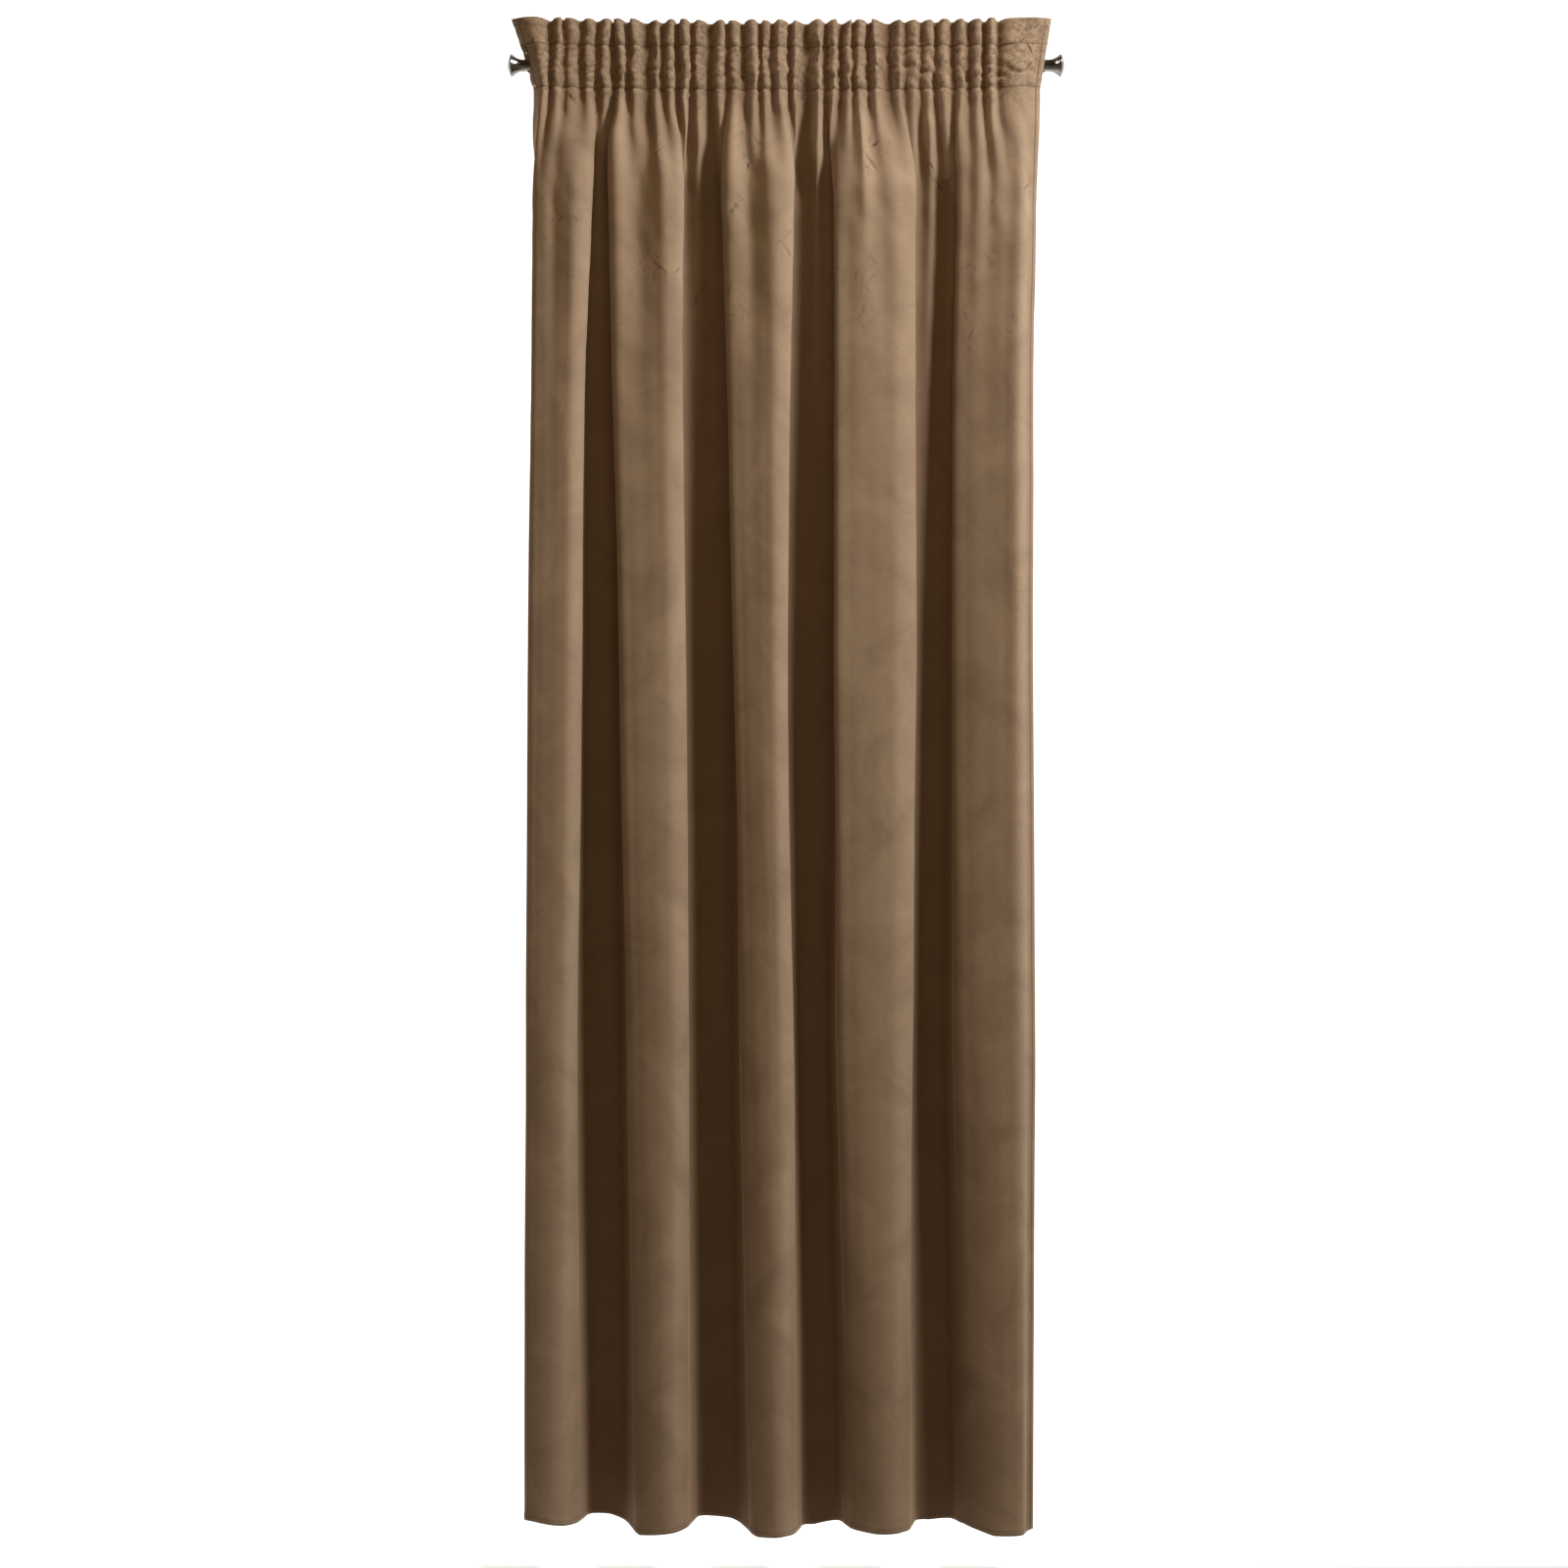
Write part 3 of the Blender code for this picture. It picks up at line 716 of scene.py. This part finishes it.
# each kind of ripple: its size across and down, its height, how far it leans, and whether it creases;
# then its strength at four heights down the panel
ripples = (
    ((0.300, 0.900), 0.0035, 0.0, False, (0.0, 0.0, 0.7, 1.0)),
    ((0.085, 0.300), 0.0012, 0.1, False, (0.0, 0.7, 1.0, 1.0)),
    ((0.034, 0.075), 0.0018, 0.5, False, (1.0, 1.0, 0.30, 0.1)),
    ((0.047, 0.021), 0.0034, -0.9, True, (1.0, 0.20, 0.0, 0.0)),
    ((0.031, 0.043), 0.0024, 1.3, True, (1.0, 0.35, 0.05, 0.0)),
    ((0.019, 0.026), 0.0009, 0.3, False, (1.0, 0.4, 0.1, 0.0)),
)
rippleHeights = (-0.02, -0.12, -0.60, -1.20)


def roughen(grid, material, heights):
    # moves the cloth in and out by each kind of ripple
    normals = gridNormals(grid)
    for layer, ((wide, tall), size, lean, creased, strengths) in enumerate(ripples):
        strength = np.interp(-heights, [-h for h in rippleHeights], strengths)
        if creased:
            strength = strength * (0.35 + 0.65 * bump(heights, -0.014, 0.026))
        for row, height in enumerate(heights):
            if strength[row] < 0.01:
                continue
            for column, along in enumerate(material):
                spot = Vector(((along + lean * height) / wide, height / tall, 7.3 * layer))
                lift = noise.noise(spot)
                if creased:
                    lift = 0.35 - (1 - abs(lift)) ** 5
                grid[row, column] += normals[row, column] * lift * size * strength[row]
    return grid


print("shaping the velvet")
clothGrid, clothAcross, clothHeights = clothRows()
clothPaintedShade, clothGrid = clothGrid[:, :, 3], clothGrid[:, :, :3]
clothGrid = clearOfTape(roughen(clothGrid, clothAcross, clothHeights), clothAcross, clothHeights)
clothNormals = gridNormals(clothGrid)


def onCloth(across, height, lift):
    # a point on the velvet, lifted off its middle towards the front
    column = np.interp(across, clothAcross, np.arange(len(clothAcross)))
    row = np.interp(-height, -clothHeights, np.arange(len(clothHeights)))
    c0, r0 = min(int(column), len(clothAcross) - 2), min(int(row), len(clothHeights) - 2)
    fc, fr = column - c0, row - r0

    def read(field):
        top = field[r0, c0] * (1 - fc) + field[r0, c0 + 1] * fc
        low = field[r0 + 1, c0] * (1 - fc) + field[r0 + 1, c0 + 1] * fc
        return top * (1 - fr) + low * fr

    return read(clothGrid) + read(clothNormals) * lift


def gridPiece(name, points, across, heights):
    # a grid primitive with its points moved onto the cloth
    rows, columns = points.shape[:2]
    deselectAll()
    bpy.ops.mesh.primitive_grid_add(x_subdivisions=columns - 1, y_subdivisions=rows - 1, size=1)
    piece = bpy.context.object
    piece.name = piece.data.name = name
    flat = np.zeros(len(piece.data.vertices) * 3, np.float32)
    piece.data.vertices.foreach_get("co", flat)
    flat = flat.reshape(-1, 3)
    column = np.rint((flat[:, 0] + 0.5) * (columns - 1)).astype(int)
    row = np.rint((0.5 - flat[:, 1]) * (rows - 1)).astype(int)
    piece.data.vertices.foreach_set("co", points[row, column].astype(np.float32).ravel())
    piece.data.update()
    loops = np.zeros(len(piece.data.loops), np.int32)
    piece.data.loops.foreach_get("vertex_index", loops)
    for layer in list(piece.data.uv_layers):
        piece.data.uv_layers.remove(layer)
    layer = piece.data.uv_layers.new(name="cloth")
    uv = np.stack([across[column[loops]], heights[row[loops]]], 1)
    layer.data.foreach_set("uv", uv.astype(np.float32).ravel())
    if sum(polygon.normal.y for polygon in piece.data.polygons) > 0:
        piece.data.flip_normals()       # the grid's own faces look to the room
    piece.data.shade_smooth()
    return piece, column, row


def giveThickness(piece, thickness):
    # half to each side of the sheet
    solidify = piece.modifiers.new("Thickness", "SOLIDIFY")
    solidify.thickness = thickness
    solidify.offset = 0
    return solidify


def inHems(across, height):
    # where the velvet is turned over and lies double
    sides = (across < velvet["sideHem"]) | (across > flatWidth - velvet["sideHem"])
    return sides | (height < hemHeight + velvet["bottomHem"]) | (height > frillTop - velvet["turnDown"])


def makeVelvetPanel():
    panel, column, row = gridPiece("velvetPanel", clothGrid, clothAcross, clothHeights)
    # each point's share of painted shade, which the velvet's material reads
    hollow = panel.data.attributes.new("hollow", "FLOAT", "POINT")
    hollow.data.foreach_set("value", clothPaintedShade[row, column].astype(np.float32))
    hems = panel.vertex_groups.new(name="hems")
    doubled = inHems(clothAcross[column], clothHeights[row])
    hems.add([int(i) for i in np.nonzero(doubled)[0]], 1.0, "REPLACE")
    hems.add([int(i) for i in np.nonzero(~doubled)[0]], 0.0, "REPLACE")
    wear(panel, velvetPile, velvetGround)
    solidify = giveThickness(panel, velvet["hemThickness"])
    solidify.vertex_group = "hems"
    solidify.thickness_vertex_group = velvet["thickness"] / velvet["hemThickness"]
    solidify.material_offset = 1
    applyAll(panel)
    turnedEdges(panel)
    return panel


def turnedEdges(panel):
    # behind the frill and the hems the cloth is turned over, so its pile shows there too
    uvs = panel.data.uv_layers["cloth"].data
    for polygon in panel.data.polygons:
        if polygon.material_index == 0:
            continue
        centre = sum((uvs[k].uv for k in polygon.loop_indices), Vector((0, 0))) / polygon.loop_total
        if inHems(*centre):
            polygon.material_index = 0


def gathers(piece):
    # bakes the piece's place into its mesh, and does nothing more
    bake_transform(piece)


velvetPanel = makeVelvetPanel()
print("velvet panel", len(velvetPanel.data.polygons), "faces")


tape = {
    "thickness": 0.0006,
    "behind": 0.0017,           # from the velvet's middle to its own
    "nearest": 0.0012,          # and never closer than this
    "rows": 32,
    "inset": 0.006,             # from the velvet's side edge
    "past": 0.001,              # beyond each stitch row
}


def behindCloth(points):
    # moves any point that isn't clear behind the velvet's middle surface until it is
    top = int(np.sum(clothHeights > heading["lowerRow"] - 0.02))
    columns = len(clothAcross)
    corners = [(r * columns + c, r * columns + c + 1, (r + 1) * columns + c + 1, (r + 1) * columns + c)
               for r in range(top - 1) for c in range(columns - 1)]
    surface = bvhtree.BVHTree.FromPolygons([Vector(p) for p in clothGrid[:top].reshape(-1, 3)], corners)
    flipped = 1 if clothNormals[:top, :, 1].mean() * surface.find_nearest(clothGrid[5, 5])[1].y > 0 else -1
    for point in points.reshape(-1, 3):
        for _ in range(3):
            near, normal, _, _ = surface.find_nearest(Vector(point))
            normal = normal * flipped
            depth = (Vector(point) - near).dot(normal)
            if depth < -tape["nearest"]:
                break
            point += np.array(normal) * (-tape["nearest"] - 0.0002 - depth)
    return points


def makeHeadingTape():
    top, low = heading["upperRow"] + tape["past"], heading["lowerRow"] - tape["past"]
    heights = np.linspace(top, low, tape["rows"])
    inside = (clothAcross > tape["inset"]) & (clothAcross < flatWidth - tape["inset"])
    across = clothAcross[inside]
    points = behindCloth(np.array([[onCloth(a, h, -tape["behind"]) for a in across] for h in heights]))
    piece, _, _ = gridPiece("headingTape", points, across, heights)
    wear(piece, webbing)
    giveThickness(piece, tape["thickness"])
    applyAll(piece)
    return piece


headingTape = makeHeadingTape()
print("heading tape made")


stitch = {"length": 0.0030, "gap": 0.0011, "radius": 0.00042, "sides": 5}


def stitchLine(name, route, lift):
    # route gives a point on the cloth for a distance sewn, as (across, height), and its whole length
    walk, length = route
    pitch = stitch["length"] + stitch["gap"]
    sides = stitch["sides"]
    points, faces = [], []
    for k in range(int(length / pitch)):
        start = k * pitch
        stations = []
        for share, sunk in ((0, 0.9), (0.3, 0.1), (0.7, 0.1), (1, 0.9)):
            across, height = walk(start + share * stitch["length"])
            stations.append(Vector(onCloth(across, height, lift - sunk * stitch["radius"])))
        along = (stations[-1] - stations[0]).normalized()
        side = along.cross(Vector((0.13, 0.97, 0.21))).normalized()
        other = along.cross(side)
        base = len(points)
        for station, thin in zip(stations, (0.5, 1, 1, 0.5)):
            for j in range(sides):
                angle = 2 * pi * j / sides
                ring = side * cos(angle) + other * sin(angle)
                points.append(station + ring * stitch["radius"] * thin)
        for ring in range(3):
            for j in range(sides):
                a = base + ring * sides + j
                b = base + ring * sides + (j + 1) % sides
                faces.append((a, b, b + sides, a + sides))
        faces.append([base + j for j in reversed(range(sides))])
        faces.append([base + 3 * sides + j for j in range(sides)])
    piece = meshPiece(name, points, faces)
    normalsOutwards(piece)
    wear(piece, thread)
    return piece


def levelRoute(height, inset):
    return (lambda s: (inset + s, height)), flatWidth - 2 * inset


def uprightRoute(across):
    top, low = frillTop - velvet["turnDown"], hemHeight + velvet["bottomHem"]
    return (lambda s: (across, top - s)), top - low


single = velvet["thickness"] / 2 + 0.0001
double = velvet["hemThickness"] / 2 + 0.0001
bottomSeam = hemHeight + velvet["bottomHem"] - velvet["seamInset"]
stitchLines = [
    stitchLine("upperStitchRow", levelRoute(seamsUp[0], tape["inset"]), single),
    stitchLine("lowerStitchRow", levelRoute(seamsUp[1], tape["inset"]), single),
    stitchLine("leftHemStitch", uprightRoute(seamsAcross[0]), double),
    stitchLine("rightHemStitch", uprightRoute(seamsAcross[1]), double),
    stitchLine("bottomHemStitch", levelRoute(bottomSeam, 0.004), double),
]
print("stitching made")

for piece in (velvetPanel, headingTape, *stitchLines):
    gathers(piece)
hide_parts("velvet_panel")
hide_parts("heading_tape")


drawCord = {
    "radius": 0.001,
    "knot": 0.006,              # along the cord
    "knotWide": 0.0006,
    "knotDeep": 0.0011,
    "inset": 0.010,             # keeps the knots behind the velvet
    "waver": 0.0002,
    "points": 240,
}
cordNames = sorted(name for name in frame["nodes"] if name.startswith("draw_cord_"))


def cordRoute(low, high):
    # straight behind the pleats, with an overhand knot at each end
    left, right = low.x + drawCord["inset"], high.x - drawCord["inset"]
    centreY, centreZ = (low.y + high.y) / 2, (low.z + high.z) / 2
    knot, wide = drawCord["knot"], drawCord["knotWide"]

    def knotted(centreX, turns):
        return [(centreX + wide * (sin(t) + 2 * sin(2 * t)),
                 centreY + wide * (cos(t) - 2 * cos(2 * t)),
                 centreZ + drawCord["knotDeep"] * sin(3 * t)) for t in turns]

    turns = np.linspace(0, 2 * pi, 30)
    straight = [(x, centreY, centreZ + drawCord["waver"] * sin(x * 210))
                for x in np.linspace(left + knot + 0.002, right - knot - 0.002, drawCord["points"])]
    return knotted(left + knot / 2, turns[::-1]) + straight + knotted(right - knot / 2, turns)


def makeDrawCord(node):
    route = cordRoute(*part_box(node))
    curve = bpy.data.curves.new("cordPath", "CURVE")
    curve.dimensions = "3D"
    curve.bevel_depth = drawCord["radius"]
    curve.bevel_resolution = 3
    curve.use_fill_caps = True
    spline = curve.splines.new("POLY")
    spline.points.add(len(route) - 1)
    for point, place in zip(spline.points, route):
        point.co = (*place, 1)
    guide = bpy.data.objects.new("cordPath", curve)
    bpy.context.scene.collection.objects.link(guide)
    pickOnly(guide)
    bpy.ops.object.convert(target="MESH")
    piece = bpy.context.object
    piece.name = piece.data.name = "drawCord" + node.rsplit("_", 1)[1].capitalize()
    bpy.ops.object.mode_set(mode="EDIT")
    bpy.ops.mesh.select_all(action="SELECT")
    bpy.ops.mesh.remove_doubles(threshold=0.00001)
    normalsOutwards(piece)
    piece.data.shade_smooth()
    wear(piece, cordWhite)
    gathers(piece)
    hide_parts(node)


for cordName in cordNames:
    makeDrawCord(cordName)
print("draw cords made")


loopBand = {
    "thickness": 0.0008,
    "tab": 0.008,               # sewn to the tape above and below
    "top": 0.008,               # heights at which the band leaves the tape
    "bottom": -0.027,
    "clear": 0.0003,
    "arcSteps": 20,
    "selvedge": 0.00025,
}


def loopPath():
    # the band down the tape, over the pole, round its back and to the tape again, as (y, z)
    radius = poleRadius + loopBand["clear"] + loopBand["thickness"] / 2
    front = tapeHigh.y + loopBand["clear"] + loopBand["thickness"] / 2
    first = atan2(loopBand["top"], front) - acos(radius / hypot(front, loopBand["top"]))
    last = atan2(loopBand["bottom"], front) + acos(radius / hypot(front, loopBand["bottom"]))
    path = [(front, loopBand["top"] + loopBand["tab"]), (front, loopBand["top"] + 0.001)]
    for step in range(loopBand["arcSteps"] + 1):
        angle = first + (last - first) * step / loopBand["arcSteps"]
        path.append((radius * cos(angle), radius * sin(angle)))
    path += [(front - 0.0001, loopBand["bottom"]), (front, loopBand["bottom"] - loopBand["tab"])]
    return path


def makeLoopBand():
    # an edge as wide as the band is extruded from point to point round the pole
    path = loopPath()
    low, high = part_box(loopNames[0])
    width = high.x - low.x
    deselectAll()
    bpy.ops.mesh.primitive_grid_add(x_subdivisions=6, y_subdivisions=1, size=width,
                                    location=(0, path[0][0], path[0][1]), rotation=(radians(90), 0, 0))
    band = bpy.context.object
    placeInMesh(band)
    bpy.ops.object.mode_set(mode="EDIT")
    bpy.ops.mesh.select_all(action="DESELECT")
    bpy.ops.mesh.select_mode(type="VERT")
    bpy.ops.object.mode_set(mode="OBJECT")
    topRow = max(v.co.z for v in band.data.vertices)
    for vertex in band.data.vertices:
        vertex.select = vertex.co.z < topRow - 1e-5
    bpy.ops.object.mode_set(mode="EDIT")
    bpy.ops.mesh.delete(type="VERT")
    bpy.ops.mesh.select_all(action="SELECT")
    bpy.ops.transform.translate(value=(0, 0, path[0][1] - topRow))
    for (y0, z0), (y1, z1) in zip(path, path[1:]):
        bpy.ops.mesh.extrude_region_move(TRANSFORM_OT_translate={"value": (0, y1 - y0, z1 - z0)})
    bpy.ops.object.mode_set(mode="OBJECT")
    giveThickness(band, loopBand["thickness"])
    bevel = band.modifiers.new("Selvedge", "BEVEL")
    bevel.width = loopBand["selvedge"]
    bevel.segments = 2
    bevel.limit_method = "ANGLE"
    applyAll(band)
    normalsOutwards(band)
    band.data.shade_smooth()
    return band


def makePoleLoops():
    band = makeLoopBand()
    for name, centre in zip(loopNames, loopCentres):
        loop = bpy.data.objects.new("poleLoop" + name[-2:], band.data.copy())
        bpy.context.scene.collection.objects.link(loop)
        loop.location.x = centre
        placeInMesh(loop)
        wear(loop, webbing)
        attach(loop, bodyOf[name])
        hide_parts(name)
    bpy.data.objects.remove(band)


bodyOf = {node: body for body, nodes in frame["record"]["behaviour"]["bodies"].items() for node in nodes}
makePoleLoops()
print("pole loops made")


boreClear = 0.0003              # between the finial's bore and the pole
finial = {
    "ring": 96,
    "collar": 0.0103,           # radius
    "chamfer": 0.0008,
    "rimEdge": 0.0015,
    "rimBack": 0.0004,          # the radii that round the rim behind and in front
    "rimFront": 0.0005,
    "dome": 0.006,
    "flare": 0.0205,            # length of the trumpet, then of the straight collar
    "reach": 0.030,
    "screwHole": 0.0023,
    "screwRoom": 0.0028,        # from the bore down to the middle of the drill
}
screw = {
    "socket": 0.00105,          # radius, to its corners
    "socketDepth": 0.0015,
    "chamfer": 0.00025,
}
poleWall, poleChamfer = 0.001, 0.0003


def ringPiece(name, stations, ring):
    # a circle is extruded along X and scaled from station to station; stations are (x, radius)
    deselectAll()
    x0, r0 = stations[0]
    bpy.ops.mesh.primitive_circle_add(vertices=ring, radius=r0, fill_type="NOTHING",
                                      location=(x0, 0, 0), rotation=(0, radians(90), 0))
    piece = bpy.context.object
    piece.name = piece.data.name = name
    placeInMesh(piece)
    bpy.ops.object.mode_set(mode="EDIT")
    bpy.ops.mesh.select_all(action="SELECT")
    for (x0, r0), (x1, r1) in zip(stations, stations[1:]):
        bpy.ops.mesh.extrude_region_move(TRANSFORM_OT_translate={"value": (x1 - x0, 0, 0)})
        bpy.ops.transform.resize(value=(1, r1 / r0, r1 / r0), center_override=(x1, 0, 0))
    bpy.ops.mesh.select_all(action="SELECT")
    bpy.ops.mesh.remove_doubles(threshold=0.000002)
    normalsOutwards(piece)
    bpy.ops.object.shade_smooth_by_angle(angle=sharpAngle)
    return piece


def finialStations(node, direction):
    low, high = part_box(node)
    tip = high.x if direction > 0 else low.x
    rim, collar, bore = high.z, finial["collar"], poleRadius + boreClear
    dome, back, front = finial["dome"], finial["rimBack"], finial["rimFront"]
    rimBack = dome + finial["rimEdge"]
    neck = rimBack + finial["flare"]
    end = neck + finial["reach"]
    tiny = 0.00001
    domeRadius = (rim**2 + dome**2) / (2 * dome)
    domeAngle = acos((domeRadius - dome) / domeRadius)
    # as (depth behind the tip, radius), from the bore's bottom round to the dome's top
    stations = [(neck - 0.0003, tiny), (neck - 0.0003, bore), (end, bore)]
    stations += [(end, collar - finial["chamfer"]), (end - finial["chamfer"], collar)]
    for step in range(21):
        share = 1 - step / 20
        stations.append((rimBack + finial["flare"] * share,
                         collar + (rim - back - collar) * (1 - sin(share * pi / 2)) ** 1.15))
    quarter = [radians(90) * step / 4 for step in range(5)]
    stations += [(rimBack - back * sin(a) - 0.0001, rim - back * cos(a)) for a in quarter]
    stations += [(dome + front - front * sin(a), rim - front + front * cos(a)) for a in quarter]
    for step in range(1, 13):
        angle = domeAngle * (1 - step / 12)
        stations.append((domeRadius - domeRadius * cos(angle), max(tiny, domeRadius * sin(angle))))
    return [(tip - direction * depth, radius) for depth, radius in stations]


def makeFinial(side, direction):
    node = f"finial_{side}"
    piece = ringPiece("finial" + side.capitalize(), finialStations(node, direction), finial["ring"])
    low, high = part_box(f"grub_screw_{side}")
    screwX = (low.x + high.x) / 2
    deselectAll()
    bpy.ops.mesh.primitive_cylinder_add(vertices=48, radius=finial["screwHole"], depth=0.008,
                                        location=(screwX, 0, -poleRadius - boreClear - finial["screwRoom"]))
    cutWith(piece, bpy.context.object, "Grub hole")
    wear(piece, finialNickel)
    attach(piece, node)
    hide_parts(node)


def makeGrubScrew(side):
    # a cylinder with its ends chamfered and a hexagon sunk into the lower one
    node = f"grub_screw_{side}"
    low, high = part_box(node)
    screwX = (low.x + high.x) / 2
    deselectAll()
    bpy.ops.mesh.primitive_cylinder_add(vertices=36, radius=(high.x - low.x) / 2, depth=high.z - low.z,
                                        location=(screwX, 0, (low.z + high.z) / 2))
    piece = bpy.context.object
    piece.name = piece.data.name = "grubScrew" + side.capitalize()
    placeInMesh(piece)
    bevel = piece.modifiers.new("Chamfer", "BEVEL")
    bevel.width = screw["chamfer"]
    bevel.segments = 2
    bpy.ops.mesh.primitive_cylinder_add(vertices=6, radius=screw["socket"], depth=2 * screw["socketDepth"],
                                        location=(screwX, 0, low.z))
    cutWith(piece, bpy.context.object, "Socket")
    wear(piece, screwSteel)
    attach(piece, node)
    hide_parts(node)


def makePole():
    outer, inner, edge = poleRadius, poleRadius - poleWall, poleChamfer
    left, right = poleLow.x, poleHigh.x
    stations = [(left, inner + 0.0001), (left, outer - edge), (left + edge, outer)]
    stations += [(right - edge, outer), (right, outer - edge), (right, inner)]
    stations += [(left, inner), (left, inner + 0.0001)]
    pole = ringPiece("poleTube", stations, 72)
    wear(pole, poleNickel)
    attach(pole, "pole")
    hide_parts("pole_tube")


makePole()
for side, direction in (("left", -1), ("right", 1)):
    makeFinial(side, direction)
    makeGrubScrew(side)
print("pole and finials made")


view = {"distance": 4.30, "frameHeight": 2.802, "height": -1.287, "across": -0.0035, "plane": -0.010}
stage = {"size": 30, "centre": 6, "drop": 0.09, "glowFrom": -0.03, "glowTo": 0.08}
lamps = {
    "key": {"kind": "SPOT", "place": (3.05, -1.95, 2.0), "aim": (0, 0, -0.62), "energy": 1440,
            "size": (0.42, 57), "colour": (0.93, 0.965, 0.98)},
    "fill": {"kind": "AREA", "place": (0.2, -3.7, 1.2), "aim": (0, 0, -0.9), "energy": 66,
             "size": (2.4, 2.4), "colour": (1, 0.77, 0.47)},
    # gives the right finial its bright spot, and hardly reaches the velvet
    "glint": {"kind": "SPOT", "place": (-3.05, -1.95, 2.0), "aim": (0.57, 0, 0), "energy": 1800,
              "size": (0.42, 4.6), "colour": (1, 1, 1)},
}


def makeStage():
    # a pale floor and backdrop; behind the panel they glow with painted light, which also washes out the
    # panel's shadow on the floor
    pale, tree, shader = newMaterial("paleStageWithPaintedGlow")
    coords = addNode(tree, "TexCoord")
    split = addNode(tree, "SeparateXYZ", inputs={0: (coords, 3)})
    # painted light: the glow rises from almost none in front of the panel to full behind it
    behind = addNode(tree, "MapRange", {"interpolation_type": "SMOOTHSTEP"},
                     {"Value": (split, 1), "From Min": stage["glowFrom"], "From Max": stage["glowTo"],
                      "To Min": 0.02, "To Max": 1.0})
    setShader(tree, shader, Base_Color=linearColour("#b8b8b8"), Roughness=0.9, Emission_Color=(1, 1, 1, 1),
              Emission_Strength=(behind, 0))
    deselectAll()
    for name, height, tilt in (("floor", hemHeight - stage["drop"], 0), ("backdrop", 0, radians(90))):
        bpy.ops.mesh.primitive_plane_add(size=stage["size"], location=(0, stage["centre"], height),
                                         rotation=(tilt, 0, 0))
        plane = bpy.context.object
        plane.name = name
        placeInMesh(plane)
        wear(plane, pale)


def addLight(name, kind, place, aim, energy, size, colour):
    light = bpy.data.lights.new(name, kind)
    light.energy = energy
    light.color = colour
    if kind == "AREA":
        light.shape = "RECTANGLE"
        light.size, light.size_y = size
    else:                       # a spot's size is its lamp's radius and its cone's angle
        light.shadow_soft_size, light.spot_size, light.spot_blend = size[0], radians(size[1]), 0.9
    lamp = bpy.data.objects.new(name, light)
    lamp.location = place
    lamp.rotation_euler = (Vector(aim) - Vector(place)).to_track_quat("-Z", "Y").to_euler()
    lamp.visible_glossy = kind == "SPOT"        # only the key and the glint are mirrored in the metal
    bpy.context.scene.collection.objects.link(lamp)


def dimRoom():
    # what the lamps and the stage leave dark gets a little warm light from all round
    world = bpy.context.scene.world or bpy.data.worlds.new("World")
    bpy.context.scene.world = world
    world.use_nodes = True
    background = world.node_tree.nodes["Background"]
    background.inputs["Color"].default_value = (1, 0.62, 0.28, 1)
    background.inputs["Strength"].default_value = 0.08


def makeCamera():
    camera = bpy.data.cameras.new("camera")
    camera.sensor_width = 36
    camera.lens = 36 * view["distance"] / view["frameHeight"]
    holder = bpy.data.objects.new("camera", camera)
    holder.location = (view["across"], view["plane"] - view["distance"], view["height"])
    holder.rotation_euler = (radians(90), 0, 0)
    bpy.context.scene.collection.objects.link(holder)
    bpy.context.scene.camera = holder


makeStage()
for name, lamp in lamps.items():
    addLight(name, **lamp)
dimRoom()
bpy.context.scene.view_settings.view_transform = "Standard"
makeCamera()
